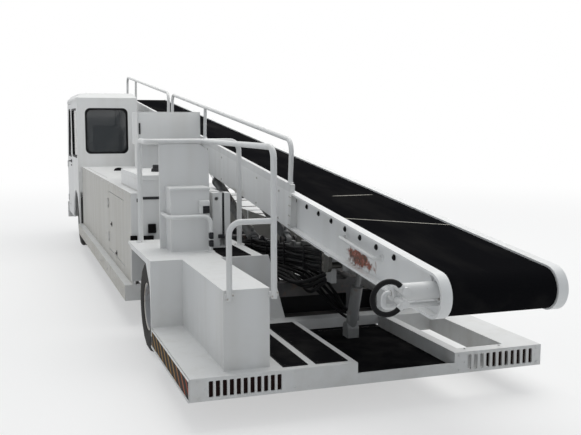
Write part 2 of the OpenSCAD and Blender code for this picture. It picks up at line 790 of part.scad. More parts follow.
module steering_wheel() color(black)
    translate([steer_x, steer_y, steer_z]) rotate([50, 0, 0]) {
        rotate_extrude() translate([190, 0]) circle(13);
        translate([0, 0, seat_gap]) cylinder(h = 25, r = 40);
        for (a = [90, 210, 330]) rotate([0, 0, a]) bar([30, 0, 12], [182, 0, 0], 8);
    }

// Front end
bumper_y1 = cab_y1 + 80;
lamp_x = side_x - 220;

module front_bumper() color(white)
    difference() {
        union() {
            slab([-side_x, side_x], [cab_y1, bumper_y1], [250, 480]);
            slab([-40, 40], [bumper_y1, bumper_y1 + 90], [300, 325]);
            slab([-40, 40], [bumper_y1, bumper_y1 + 90], [375, 400]);
        }
        translate([0, bumper_y1 + 50, 299]) cylinder(h = 102, r = 16);
        both_sides() translate([lamp_x, bumper_y1 - 40, 365]) rotate([-90, 0, 0])
            cylinder(h = 41, r = 80);
    }

module headlamps() color("#d8dce0")
    both_sides() translate([lamp_x, bumper_y1 - 40, 365]) rotate([-90, 0, 0]) cylinder(h = 34, r = 79);

// Axles, springs and wheels
axle_r = 45;
king_x = wheel_x0 - 90;
king_r = 18;
beam_top = axle_z + axle_r;

spindle_r = 30;
wheel_mid = (wheel_x0 + wheel_x1) / 2;
spindle_end = wheel_mid + 35;
drum_face = wheel_x0 - 5;
drum_brake_r = 85;

module half_axle()
    rotate([0, 90, 0]) rotate_extrude()
        polygon([[0, 0], [130, 0], [130, 60], [axle_r, 200], [axle_r, drum_face - 55],
                 [drum_brake_r, drum_face - 55], [drum_brake_r, drum_face],
                 [spindle_r, drum_face], [spindle_r, spindle_end], [0, spindle_end]]);

module rear_axle() color(black)
    translate([0, rear_axle_y, axle_z]) both_sides() half_axle();

module front_axle() color(black)
    difference() {
        union() {
            slab([-king_x, king_x], [front_axle_y - 35, front_axle_y + 35], [beam_top - 80, beam_top]);
            for (s = [-1, 1]) translate([s * king_x, front_axle_y, beam_top - 80])
                cylinder(h = 80, r = 40);
        }
        for (s = [-1, 1]) translate([s * king_x, front_axle_y, beam_top - 81])
            cylinder(h = 82, r = king_r + pin_gap);
    }

leaf_t = 9;

module spring(y)
    for (s = [-1, 1]) {
        for (i = [0 : 2])
            slab([s * rail_x - 30, s * rail_x + 30], [y - 395 + (2 - i) * 110, y + 395 - (2 - i) * 110],
                 [beam_top + i * leaf_t, beam_top + (i + 1) * leaf_t]);
        for (e = [-1, 1])
            slab([s * rail_x - 30, s * rail_x + 30], [y + e * 370 - 25, y + e * 370 + 25],
                 [beam_top + 3 * leaf_t, rail_z0]);
    }

module springs() color(black) {
    spring(rear_axle_y);
    spring(front_axle_y);
}

module knuckle(s) {
    z0 = beam_top - 80;
    translate([s * king_x, front_axle_y, z0 - 26]) cylinder(h = 132, r = king_r);
    for (z = [z0 - 26, beam_top + 1])
        translate([0, 0, z]) linear_extrude(25) {
            translate([s * king_x, front_axle_y]) circle(38);
            translate([s > 0 ? king_x : -king_x - 70, front_axle_y - 30]) square([70, 60]);
        }
    slab([s > 0 ? king_x + 50 : -king_x - 75, s > 0 ? king_x + 75 : -king_x - 50],
         [front_axle_y - 45, front_axle_y + 45], [z0 - 26, beam_top + 26]);
    bar([s * (king_x + 60), front_axle_y, axle_z], [s * drum_face, front_axle_y, axle_z], 70);
    bar([s * drum_face, front_axle_y, axle_z], [s * spindle_end, front_axle_y, axle_z], spindle_r);
}

module knuckle_left() color(black) knuckle(-1);
module knuckle_right() color(black) knuckle(1);

module at_wheel(s, y) translate([s * wheel_mid, y, axle_z]) rotate([0, s * 90, 0]) children();

module tyre()
    rotate_extrude($fn = 96)
        polygon([[rim_r + seat_gap, -tyre_w / 2 + 18], [rim_r + 40, -tyre_w / 2],
                 [tyre_r - 60, -tyre_w / 2], [tyre_r - 12, -tyre_w / 2 + 20], [tyre_r, -tyre_w / 2 + 45],
                 [tyre_r, tyre_w / 2 - 45], [tyre_r - 12, tyre_w / 2 - 20], [tyre_r - 60, tyre_w / 2],
                 [rim_r + 40, tyre_w / 2], [rim_r + seat_gap, tyre_w / 2 - 18]]);

module rim()
    difference() {
        rotate_extrude($fn = 96) {
            translate([rim_r - 10, -tyre_w / 2 + 18]) square([10, tyre_w - 36]);
            translate([0, -12]) square([rim_r - 5, 12]);
            translate([spindle_r + pin_gap, -tyre_w / 2]) square([32, tyre_w / 2 + 30]);
        }
        translate([0, 0, -13]) cylinder(h = 14, r = spindle_r + pin_gap);
        for (a = [0 : 60 : 359]) rotate([0, 0, a]) translate([118, 0, -13]) cylinder(h = 14, r = 20);
    }

module tyre_rl() color(black) at_wheel(-1, rear_axle_y) tyre();
module rim_rl() color("silver") at_wheel(-1, rear_axle_y) rim();
module tyre_rr() color(black) at_wheel(1, rear_axle_y) tyre();
module rim_rr() color("silver") at_wheel(1, rear_axle_y) rim();
module tyre_fl() color(black) at_wheel(-1, front_axle_y) tyre();
module rim_fl() color("silver") at_wheel(-1, front_axle_y) rim();
module tyre_fr() color(black) at_wheel(1, front_axle_y) tyre();
module rim_fr() color("silver") at_wheel(1, front_axle_y) rim();

// Boom supports
pivot_s = 1300;
pivot_t = -215;
pivot_r = 20;
pivot_y = -drum_back + pivot_s * cos(boom_tilt) - pivot_t * sin(boom_tilt);
pivot_z = drum_z + pivot_s * sin(boom_tilt) + pivot_t * cos(boom_tilt);
arm_w = 50;
arm_x = [boom_inner0 + 45, boom_inner1 - 45 - arm_w];
arm_foot_y = 2380;
arm_foot_z = 620;

module rear_arms() color("#55585c") {
    rear_cylinder();
    for (x = arm_x) across([x, x + arm_w]) difference() {
        union() {
            translate([pivot_y, pivot_z]) circle(42);
            translate([arm_foot_y, arm_foot_z]) circle(42);
            translate([pivot_y, pivot_z])
                rotate(atan2(arm_foot_z - pivot_z, arm_foot_y - pivot_y))
                    translate([0, -35]) square([norm([arm_foot_y - pivot_y, arm_foot_z - pivot_z]), 70]);
        }
        translate([pivot_y, pivot_z]) circle(pivot_r + pin_gap);
    }
    bar([-rail_in, arm_foot_y, arm_foot_z], [arm_x[1] + arm_w, arm_foot_y, arm_foot_z], 25);
    both_sides() slab([-rail_in - lug_t, -rail_in], [arm_foot_y - 40, arm_foot_y + 40],
                      [rail_z1, arm_foot_z + 40]);
    bar([arm_x[0], eye_y, eye_z], [arm_x[1] + arm_w, eye_y, eye_z], eye_r);
}

// The short cylinder that holds the rear arms up from the well's floor
eye_y = 700;
eye_z = 730;
eye_r = 22;
foot_y = 850;
foot_z = 275;
foot_r = 45;

module rear_cylinder() {
    along_rear = unit([0, eye_y - foot_y, eye_z - foot_z]);
    foot = [boom_cx, foot_y, foot_z];
    bar(foot, foot + 320 * along_rear, 38);
    bar(foot + 320 * along_rear, [boom_cx, eye_y, eye_z] - (eye_r + 4) * along_rear, 18);
    across([boom_cx - 20, boom_cx + 20]) difference() {
        translate([eye_y, eye_z]) circle(eye_r + 14);
        translate([eye_y, eye_z]) circle(eye_r + pin_gap);
    }
    across([boom_cx - 40, boom_cx + 40]) {
        translate([foot_y, foot_z]) circle(foot_r);
        translate([foot_y - foot_r, well_z + mat_t]) square([2 * foot_r, foot_z - well_z - mat_t]);
    }
}

rest_s = (rest_y + drum_back) / cos(boom_tilt);
rest_x = [boom_inner0 + 35, rail_in + 10];
pad_t = 20;
rest_top = drum_z + rest_s * sin(boom_tilt) - (member_drop + pad_t + 40) * cos(boom_tilt);

module boom_rest() color("#55585c") {
    on_boom() slab([boom_x0, boom_x1], [rest_s, rest_s + 80],
                   [-member_drop - seat_gap - pad_t - 60, -member_drop - seat_gap - pad_t]);
    for (x = rest_x)
        slab([x, x + 60], [rest_y + 30, rest_y + 80],
             [x > rail_in ? rail_z1 : rail_z1 - rail_wall, rest_top]);
}

module rest_pads() color(black)
    on_boom() for (x = [boom_x0, boom_inner1])
        slab([x, x + member_t], [rest_s, rest_s + 80],
             [-member_drop - seat_gap - pad_t, -member_drop - seat_gap]);

lift_s = 5150;
lift_t = -235;
lift_y = -drum_back + lift_s * cos(boom_tilt) - lift_t * sin(boom_tilt);
lift_z = drum_z + lift_s * sin(boom_tilt) + lift_t * cos(boom_tilt);
lift_dir = [lift_y - lift_foot_y, lift_z - lift_foot_z];
lift_len = norm(lift_dir);
barrel_len = lift_len - 330;

module along_lift(x)
    translate([x, lift_foot_y, lift_foot_z])
        rotate([atan2(lift_dir[1], lift_dir[0]), 0, 0]) rotate([-90, 0, 0]) children();

module lift_barrels() color("#606468") {
    for (x = lift_x) along_lift(x) difference() {
        union() {
            translate([0, 0, 60]) cylinder(h = barrel_len - 60, r = lift_barrel_r);
            translate([-22, -28, 0]) cube([44, 56, 70]);
            translate([-22, 0, 0]) rotate([0, 90, 0]) cylinder(h = 44, r = 28);
        }
        translate([0, 0, 100]) cylinder(h = barrel_len, r = 25 + pin_gap);
        translate([-23, 0, 0]) rotate([0, 90, 0]) cylinder(h = 46, r = lift_pin_r + pin_gap);
    }
}

module lift_rods() color("silver") {
    for (x = lift_x) along_lift(x) {
        translate([0, 0, 130]) cylinder(h = lift_len - 130 - 25, r = 25);
        translate([-20, 0, lift_len]) rotate([0, 90, 0]) cylinder(h = 40, r = 30);
    }
}

// Boom
// Where the low end of a side member reaches its full depth
taper_s = 1500;

module member_outline(less) {
    circle(member_r - less, $fn = 64);
    polygon([[0, member_r - less], [0, -member_r + less], [taper_s, -member_drop + less],
             [guard_s, -member_drop + less], [guard_s, member_r - less]]);
}

module member_rest() {
    translate([boom_len, 0]) circle(member_r, $fn = 64);
    polygon([[guard_s - 1, member_r], [guard_s - 1, -member_drop], [boom_len - 600, -member_drop],
             [boom_len, -member_r], [boom_len, member_r]]);
}

// A side member: an open channel at the low end and a closed box from the guard on
module member()
    difference() {
        across([boom_x0, boom_inner0]) {
            member_outline(0);
            member_rest();
        }
        across([boom_x0 - 1, web_x]) member_outline(flange_t);
        for (i = [0 : idler_count - 1])
            bar([boom_x0, idler_s + i * idler_pitch, idler_t],
                [web_x + 5, idler_s + i * idler_pitch, idler_t], 13);
    }

module on_right() translate([2 * boom_cx, 0, 0]) mirror([1, 0, 0]) children();

idler_s = 480;
idler_t = 52;
drum_r = belt_r - belt_t - seat_gap;
idler_r = drum_r - idler_t;

module lug(s, t, r, bore)
    difference() {
        union() {
            translate([s, t]) circle(r);
            translate([s - r, t]) square([2 * r, -member_drop - t + flange_t]);
        }
        if (bore > 0) translate([s, t]) circle(bore);
    }

module boom_frame() color(white)
    on_boom() {
        member();
        on_right() member();
        for (x = [boom_x0, boom_x1 - 25]) across([x, x + 25]) lug(pivot_s, pivot_t, 40, 0);
        for (s = [700 : 1180 : boom_len - 300])
            slab([boom_inner0 - 1, boom_inner1 + 1], [s, s + 50], [-member_drop + 2, -member_drop + 38]);
        bar([boom_x0, pivot_s, pivot_t], [boom_x1, pivot_s, pivot_t], pivot_r);
        for (x = lift_x, side = [-1, 1]) across([x + side * 42 - 10, x + side * 42 + 10])
            lug(lift_s, lift_t, 45, 16);
        slab([boom_inner0 - 1, boom_inner1 + 1], [lift_s - 60, lift_s + 60],
             [-member_drop, -member_drop + 38]);
        slider_bed();
        bar([web_x - 12, 89, 44], [web_x + 1, 89, 44], 32);
    }

module boom_guard() color(white)
    on_boom() slab([boom_x0, boom_x0 + 30], [guard_s, boom_len - 200], [member_r, member_r + guard_h]);

module slider_bed()
    slab([boom_inner0, boom_inner1], [guard_s + 200, boom_len - 250], [drum_r - 8, drum_r]);

module idlers()
    for (i = [0 : idler_count - 1]) {
        s = idler_s + i * idler_pitch;
        bar([boom_inner0 + 6, s, idler_t], [boom_inner1 - 6, s, idler_t], idler_r);
        bar([boom_inner0, s, idler_t], [boom_inner1, s, idler_t], 10);
    }

module drums()
    for (s = [0, boom_len]) {
        bar([boom_inner0 + 6, s, 0], [boom_inner1 - 6, s, 0], drum_r);
        bar([boom_inner0, s, 0], [boom_inner1, s, 0], 22);
    }

module rollers() color("silver") on_boom() {
    idlers();
    drums();
}

module loop_outline(r) {
    circle(r, $fn = 64);
    translate([boom_len, 0]) circle(r, $fn = 64);
    translate([0, -r]) square([boom_len, 2 * r]);
}

module belt() color(black)
    on_boom() across([boom_inner0 + 6, boom_inner1 - 6]) difference() {
        loop_outline(belt_r);
        loop_outline(belt_r - belt_t);
    }

handrail_x = boom_x0 + 30 / 2;
handrail_h = 295;

// Start, middle post and end of each handrail along the boom
handrail_s = [[2055, 4630, 6290], [6530, 9090, 9950]];
handrail_r = 17;
grab_s = [620, 1105];
grab_t = 12;
handrail_bend = 90;

module boom_rails() color(white)
    on_boom() {
        foot = member_r + guard_h;
        top = foot + handrail_h;
        for (s = handrail_s) {
            tube([[handrail_x, s[0], foot], [handrail_x, s[0], top], [handrail_x, s[2], top],
                  [handrail_x, s[2], foot]], handrail_r, handrail_bend);
            bar([handrail_x, s[1], foot], [handrail_x, s[1], top], handrail_r - post_less);
        }
        tube([[web_x, grab_s[0], grab_t], [boom_x0, grab_s[0], grab_t], [boom_x0, grab_s[1], grab_t],
              [web_x, grab_s[1], grab_t]], 11, 16);
    }

motor_x = boom_x0 - 185;
motor_t = 26;
motor_r = 42;
cap_x = motor_x - 18;

// The drive motor on the rear drum's shaft, with the bent tube that guards it
// The hose's loop beside the motor: its middle, its radius, half of its
// open angle and the length of a fitting's stem
hose_r = 12.5;
hose_ring = 76;
hose_c = [motor_x - 73, -90, 34];
hose_open = 45;
hose_stem = 34;

function hose_at(angle) = hose_c + hose_ring * [cos(angle), 0, sin(angle)];

// A fitting from the motor to one end of the hose, up = 1 for the upper end
module hose_fitting(up) {
    end = hose_at(up * hose_open);
    way = [sin(hose_open), 0, -up * cos(hose_open)];
    corner = end + hose_stem * way;
    bar(end + seat_gap * way, corner, hose_r + 3);
    bar([corner[0], hose_c[1] - hose_r - 8, corner[2]], [corner[0], 0, corner[2]], hose_r + 7);
}

module drive_motor() color(white)
    on_boom() {
        bar([motor_x, 0, motor_t], [web_x, 0, motor_t], motor_r);
        bar([web_x - 14, 0, motor_t - 10], [web_x, 0, motor_t - 10], 50);
        bar([cap_x, 0, motor_t], [motor_x + 1, 0, motor_t], 34);
        for (up = [1, -1]) hose_fitting(up);
        tube([[web_x, 0, -40], [cap_x - 34, 0, -40], [cap_x - 34, 0, motor_t], [cap_x + 5, 0, motor_t]],
             12, 22);
    }

module hose_loop() color(black)
    on_boom() translate(hose_c) rotate([90, 0, 0]) rotate([0, 0, hose_open])
        rotate_extrude(angle = 360 - 2 * hose_open) translate([hose_ring, 0]) circle(hose_r);

from_rear() chassis_frame();
from_rear() rear_deck();
from_rear() deck_mats();
from_rear() hazard_board();
from_rear() rear_lamps();
from_rear() rear_fenders();
from_rear() step_box();
from_rear() console();
from_rear() switch_box();
from_rear() station_rails();
from_rear() side_sills();
from_rear() engine_housing();
from_rear() engine_lid();
from_rear() engine_door();
from_rear() engine_block();
from_rear() locker();
from_rear() side_tanks();
from_rear() front_fender();
from_rear() cab_back();
from_rear() cab_sides();
from_rear() cab_roof();
from_rear() cab_front();
from_rear() cab_floor();
from_rear() cab_seals();
from_rear() cab_glass();
from_rear() cab_door();
from_rear() door_seal();
from_rear() door_glass();
from_rear() seat_base();
from_rear() seat_pads();
from_rear() dash();
from_rear() steering_wheel();
from_rear() front_bumper();
from_rear() headlamps();
from_rear() rear_axle();
from_rear() front_axle();
from_rear() springs();
from_rear() knuckle_left();
from_rear() knuckle_right();
from_rear() tyre_rl();
from_rear() rim_rl();
from_rear() tyre_rr();
from_rear() rim_rr();
from_rear() tyre_fl();
from_rear() rim_fl();
from_rear() tyre_fr();
from_rear() rim_fr();
from_rear() rear_arms();
from_rear() boom_rest();
from_rear() rest_pads();
from_rear() lift_barrels();
from_rear() lift_rods();
from_rear() boom_frame();
from_rear() boom_guard();
from_rear() rollers();
from_rear() belt();
from_rear() boom_rails();
from_rear() drive_motor();
from_rear() hose_loop();
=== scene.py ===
"""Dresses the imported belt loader: paint, rubber, lamps, fittings, floor and light."""

import json
import math

import bmesh
import bpy
from mathutils import Matrix, Vector


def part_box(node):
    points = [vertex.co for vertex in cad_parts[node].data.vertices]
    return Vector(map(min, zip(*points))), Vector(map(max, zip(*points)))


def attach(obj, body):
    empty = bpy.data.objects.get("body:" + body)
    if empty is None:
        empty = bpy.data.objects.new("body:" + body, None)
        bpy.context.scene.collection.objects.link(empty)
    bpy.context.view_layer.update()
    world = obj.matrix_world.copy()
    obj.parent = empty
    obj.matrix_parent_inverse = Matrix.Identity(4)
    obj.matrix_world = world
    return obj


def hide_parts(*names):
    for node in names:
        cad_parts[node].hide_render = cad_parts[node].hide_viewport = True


bl_info = {
    "name": "Belt Loader Dressing",
    "version": (1, 0, 0),
    "blender": (4, 5, 0),
    "location": "View3D > Sidebar > Belt Loader",
    "description": "Adds the finishes, small fittings and studio of a baggage belt loader",
    "category": "Object",
}

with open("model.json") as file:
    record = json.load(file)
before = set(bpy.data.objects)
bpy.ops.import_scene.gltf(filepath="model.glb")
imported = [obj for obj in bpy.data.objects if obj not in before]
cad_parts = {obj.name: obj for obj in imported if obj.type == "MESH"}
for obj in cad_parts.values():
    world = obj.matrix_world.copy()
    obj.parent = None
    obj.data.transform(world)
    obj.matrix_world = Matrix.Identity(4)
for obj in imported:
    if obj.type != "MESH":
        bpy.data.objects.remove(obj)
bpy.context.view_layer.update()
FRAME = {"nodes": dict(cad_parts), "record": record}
NODES = FRAME["nodes"]
SLOT_OF = {part["node"]: part["material_slot"] for part in FRAME["record"]["subparts"]}
# The camera's sensor, in millimetres across, and how far it sees, in metres
SENSOR = 36.0
SEE_FAR = 400.0
# Half of the floor's width
FLOOR_REACH = 150.0
REAR_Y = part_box("rear_deck")[0][1]
# Each finish by its name, once it has been mixed
PAINTS = {}


def machine(x=0.0, y=0.0, z=0.0):
    """A place in the frame, from metres ahead of the rear bumper's face."""
    return Vector((x, REAR_Y + y, z))


MACHINE = Matrix.Translation(machine())
# The boom's slope and the middle of its rear drum
BOOM_TILT = math.radians(6.1)
BOOM_FOOT = machine(0.0, -0.861, 0.857)
# The boom's own axes: X across, Y along it from the rear drum, Z square to the belt
BOOM = Matrix.Translation(BOOM_FOOT) @ Matrix.Rotation(BOOM_TILT, 4, "X")
# Which way a face looks
LEFT = (-1, 0, 0)
RIGHT = (1, 0, 0)
BACK = (0, -1, 0)
AHEAD = (0, 1, 0)
UP = (0, 0, 1)
DOWN = (0, 0, -1)


# Shader helpers


class Value:
    """One number in a material; Python's operators add its Math nodes."""

    def __init__(self, paint, socket):
        self.paint = paint
        self.socket = socket

    def _math(self, operation, first, second=None):
        inputs = {0: first} if second is None else {0: first, 1: second}
        return self.paint.node("ShaderNodeMath", {"operation": operation}, inputs)

    def __add__(self, other):
        return self._math("ADD", self, other)

    __radd__ = __add__

    def __sub__(self, other):
        return self._math("SUBTRACT", self, other)

    def __rsub__(self, other):
        return self._math("SUBTRACT", other, self)

    def __mul__(self, other):
        return self._math("MULTIPLY", self, other)

    __rmul__ = __mul__

    def __mod__(self, other):
        return self._math("FLOORED_MODULO", self, other)

    def abs(self):
        return self._math("ABSOLUTE", self)

    def band(self, low, high, top=1.0):
        """0 up to low, then a straight rise to top at high."""
        inputs = {0: self, 1: low, 2: high, 3: 0.0, 4: top}
        return self.paint.node("ShaderNodeMapRange", {"clamp": True}, inputs)


class Paint:
    """Builds one material's nodes."""

    def __init__(self, name):
        self.material = bpy.data.materials.new(f"{name}_finish")
        self.material.use_nodes = True
        self.tree = self.material.node_tree
        self.shader = self.tree.nodes["Principled BSDF"]
        self.here = self.node("ShaderNodeTexCoord", {}, {}, "Object")

    def node(self, kind, settings, inputs, output=0):
        """Adds a node with its settings and inputs, and gives one of its outputs."""
        made = self.tree.nodes.new(kind)
        for name, value in settings.items():
            setattr(made, name, value)
        for key, value in inputs.items():
            self.put(made.inputs[key], value)
        return Value(self, made.outputs[output])

    def put(self, target, value):
        """Links a Value to a socket, or sets a constant on it."""
        if isinstance(value, Value):
            self.tree.links.new(value.socket, target)
        else:
            target.default_value = value

    def noise(self, scale, detail=3.0, roughness=0.55, where=None, stretch=None):
        """Noise from 0 to 1 on the object's own coordinates, stretched where given."""
        place = where or self.here
        if stretch:
            place = self.node("ShaderNodeMapping", {}, {"Vector": place, "Scale": stretch})
        inputs = {"Vector": place, "Scale": scale, "Detail": detail, "Roughness": roughness}
        return self.node("ShaderNodeTexNoise", {}, inputs)

    def axis(self, name, where=None):
        """The X, Y or Z coordinate in metres."""
        return self.node("ShaderNodeSeparateXYZ", {}, {0: where or self.here}, name)

    def mix(self, factor, first, second):
        """A colour between two colours."""
        made = self.tree.nodes.new("ShaderNodeMix")
        made.data_type = "RGBA"
        self.put(made.inputs["Factor"], factor)
        self.put(made.inputs["A"], first if isinstance(first, Value) else (*first, 1.0)[:4])
        self.put(made.inputs["B"], second if isinstance(second, Value) else (*second, 1.0)[:4])
        return Value(self, made.outputs["Result"])

    def bump(self, height, strength, distance):
        """Roughens the surface by a height."""
        inputs = {"Height": height, "Strength": strength, "Distance": distance}
        self.put(self.shader.inputs["Normal"], self.node("ShaderNodeBump", {}, inputs))

    def finish(self, **sockets):
        """Sets or links the shader's sockets, named with underscores for spaces."""
        for name, value in sockets.items():
            if isinstance(value, tuple) and len(value) == 3:
                value = (*value, 1.0)
            self.put(self.shader.inputs[name.replace("_", " ")], value)
        return self.material


# Shape helpers


def ring(count, radius, first=0.0):
    """Places evenly round a circle as pairs, the first one at the angle first."""
    angles = [math.tau * k / count + first for k in range(count)]
    return [(radius * math.cos(angle), radius * math.sin(angle)) for angle in angles]


def rounded_path(points, bend, steps=5):
    """The points with each inner corner turned into an arc that starts bend before it."""
    path = [Vector(points[0])]
    for before, corner, after in zip(points, points[1:], points[2:]):
        corner = Vector(corner)
        start = corner + (Vector(before) - corner).normalized() * bend
        end = corner + (Vector(after) - corner).normalized() * bend
        for k in range(steps + 1):
            t = k / steps
            path.append(start * (1 - t) ** 2 + corner * (2 * t * (1 - t)) + end * t ** 2)
    path.append(Vector(points[-1]))
    return path


class Shape:
    """A mesh in the making: blocks, rods, turned forms and pipes in one set of axes."""

    def __init__(self, axes=MACHINE):
        self.axes = axes
        self.mesh = bmesh.new()

    def soften(self, corners, width, segments, which=None):
        """Bevels the edges at the corners, or those of them that which picks."""
        # A dictionary keeps the edges in the same order in every run
        edges = dict.fromkeys(edge for corner in corners for edge in corner.link_edges)
        picked = [edge for edge in edges if not which or which(edge)]
        bmesh.ops.bevel(self.mesh, geom=picked, offset=width, segments=segments, affect="EDGES",
                        profile=0.5, material=-1)

    def block(self, low, high, bevel=0.0, segments=2, turn=None):
        """A block between two corners with bevelled edges, turned about its middle where given."""
        low, high = Vector(low), Vector(high)
        place = self.axes @ Matrix.Translation((low + high) / 2) @ (turn or Matrix())
        place = place @ Matrix.Diagonal((*(high - low), 1.0))
        made = bmesh.ops.create_cube(self.mesh, size=1.0, matrix=place)
        if bevel:
            self.soften(made["verts"], bevel, segments)
        return self

    def blocks(self, corners, bevel):
        """One block for each pair of corners."""
        for low, high in corners:
            self.block(low, high, bevel)

    def plate(self, face, out, thick, low, high, bevel):
        """A plate on an upright face at X = face, between two corners given as (along, up)."""
        inner, outer = sorted((face, face + out * thick))
        self.block((inner, *low), (outer, *high), bevel)

    def along(self, start, end):
        """Axes whose Z runs from start to end, with their origin half way."""
        start, end = Vector(start), Vector(end)
        turn = (end - start).to_track_quat("Z", "Y").to_matrix().to_4x4()
        return self.axes @ Matrix.Translation((start + end) / 2) @ turn

    def rod(self, start, end, radius, end_radius=None, sides=20, bevel=0.0):
        """A rod or a cone between two points, with bevelled ends."""
        made = bmesh.ops.create_cone(
            self.mesh, cap_ends=True, cap_tris=False, segments=sides, radius1=radius,
            radius2=radius if end_radius is None else end_radius,
            depth=(Vector(end) - Vector(start)).length, matrix=self.along(start, end),
        )
        if bevel:
            self.soften(made["verts"], bevel, 2, lambda edge: any(len(f.verts) > 4 for f in edge.link_faces))
        return self

    def bolt(self, place, out, size=0.012, washer=True):
        """A hexagon head on a washer, standing out of a face along out."""
        place, out = Vector(place), Vector(out)
        if washer:
            self.rod(place, place + out * size * 0.18, size * 0.95, sides=16)
        self.rod(place, place + out * size * 0.62, size * 0.62, size * 0.6, sides=6)
        return self

    def turned(self, profile, axes=None, steps=48):
        """A form turned round the local Z of axes from (radius, height) pairs."""
        corners = [self.mesh.verts.new((r, 0.0, z)) for r, z in profile]
        edges = [self.mesh.edges.new(pair) for pair in zip(corners, corners[1:])]
        made = bmesh.ops.spin(
            self.mesh, geom=corners + edges, cent=(0, 0, 0), axis=UP, angle=math.tau, steps=steps,
            use_merge=True,
        )
        every = {item for item in made["geom_last"] if isinstance(item, bmesh.types.BMVert)} | set(corners)
        grown = set(every)
        while grown:
            grown = {e.other_vert(v) for v in grown for e in v.link_edges} - every
            every |= grown
        bmesh.ops.transform(self.mesh, matrix=self.axes @ (axes or Matrix()), verts=list(every))
        return self

    def pipe(self, points, radius, bend=0.0, sides=12, loose=False):
        """A round pipe through points, with bent corners or, where loose, in one easy curve."""
        curve = bpy.data.curves.new("pipe", "CURVE")
        curve.dimensions = "3D"
        curve.bevel_depth = radius
        curve.bevel_resolution = max(0, sides // 2 - 2)
        curve.use_fill_caps = True
        curve.resolution_u = 5
        path = [Vector(p) for p in points] if loose or not bend else rounded_path(points, bend)
        spline = curve.splines.new("NURBS" if loose else "POLY")
        spline.points.add(len(path) - 1)
        for target, point in zip(spline.points, path):
            target.co = (*(self.axes @ point), 1.0)
        if loose:
            spline.order_u = 4
            spline.use_endpoint_u = True
        holder = bpy.data.objects.new("pipe", curve)
        mesh = bpy.data.meshes.new_from_object(holder)
        self.mesh.from_mesh(mesh)
        bpy.data.objects.remove(holder)
        bpy.data.curves.remove(curve)
        bpy.data.meshes.remove(mesh)
        return self

    def piece(self, name, slot, body="chassis", finish=None, smooth=35.0):
        """Makes the finished object and lets it ride on its body."""
        bmesh.ops.remove_doubles(self.mesh, verts=self.mesh.verts, dist=0.00002)
        bmesh.ops.recalc_face_normals(self.mesh, faces=self.mesh.faces)
        mesh = bpy.data.meshes.new(name)
        self.mesh.to_mesh(mesh)
        self.mesh.free()
        mesh.shade_smooth()
        mesh.set_sharp_from_angle(angle=math.radians(smooth))
        mesh.materials.append(PAINTS[finish or slot])
        made = bpy.data.objects.new(name, mesh)
        bpy.context.scene.collection.objects.link(made)
        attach(made, body)
        return made


# Finishes, one for each material slot of the record and a few for small parts


# Middle and reach of the boom's rubbed patch, in the boom's axes
RUST_SPOT = (-0.1, 0.925, -0.070)
RUST_REACH = (0.06, 0.20, 0.048)


def white_paint(look, name="white_paint", patch=None, painted_light_gain=1.0):
    """Aged gloss paint: dust low down, runs on upright faces, rusted chips, and painted shade on the
    housing's left side.
    """
    paint = Paint(name)
    height = paint.axis("Z")
    up = paint.node("ShaderNodeTexCoord", {}, {}, "Normal")
    flat = paint.axis("Z", up).band(0.6, 0.95)
    cloud = paint.noise(1.3, 4.0)
    mottle = paint.noise(9.0, 5.0, 0.65)
    speckle = paint.noise(38.0, 4.0, 0.7)
    # Painted shade: the housing's left-facing side is darkened with the grime colour, scaled by the dirt
    # setting.
    left = (0.0 - paint.axis("X", up)).band(0.8, 0.95)
    ahead = paint.axis("Y") - REAR_Y
    painted_shade_left = left * ahead.band(2.2, 2.5) * (6.86 - ahead).band(0.0, 0.02) * (1.11 - height).band(0.0, 0.02)
    streak = paint.noise(2.0, 1.0, 0.5, stretch=(4.0, 4.0, 0.4))
    splash = (0.62 - height).band(0.0, 0.62) * mottle.band(0.30, 0.72) * (1.0 - flat * 0.7)
    runs = streak.band(0.46, 0.85, 0.30) * (1.0 - flat)
    settled = mottle.band(0.50, 0.85, 0.35) * flat
    # This mask holds real dust and runs, and also the painted shade of the housing's left side.
    grime_and_painted_shade = (splash * 0.6 + runs + settled + painted_shade_left * 0.9) * look.dirt
    rust = speckle.band(0.69, 0.74) * cloud.band(0.47, 0.62) * look.rust
    # A gain above 1 lightens the white: painted light.
    bright = tuple(c * painted_light_gain for c in look.white)
    clean = paint.mix(cloud, bright, tuple(c * 0.93 for c in bright))
    # Dirt and the painted shade on the housing's left side share this colour.
    dirty_and_shaded = paint.mix(grime_and_painted_shade, clean, (0.40, 0.375, 0.32))
    colour = paint.mix(rust, dirty_and_shaded, (0.19, 0.075, 0.03))
    if patch:
        colour = patch(paint, colour)
    paint.bump(speckle * 0.4 + paint.noise(220.0, 2.0) * 0.25 - rust * 0.5, 0.1, 0.004)
    return paint.finish(Base_Color=colour, Roughness=0.38 + grime_and_painted_shade * 0.4 + rust * 0.4,
                        Coat_Weight=0.08, Specular_IOR_Level=0.3)


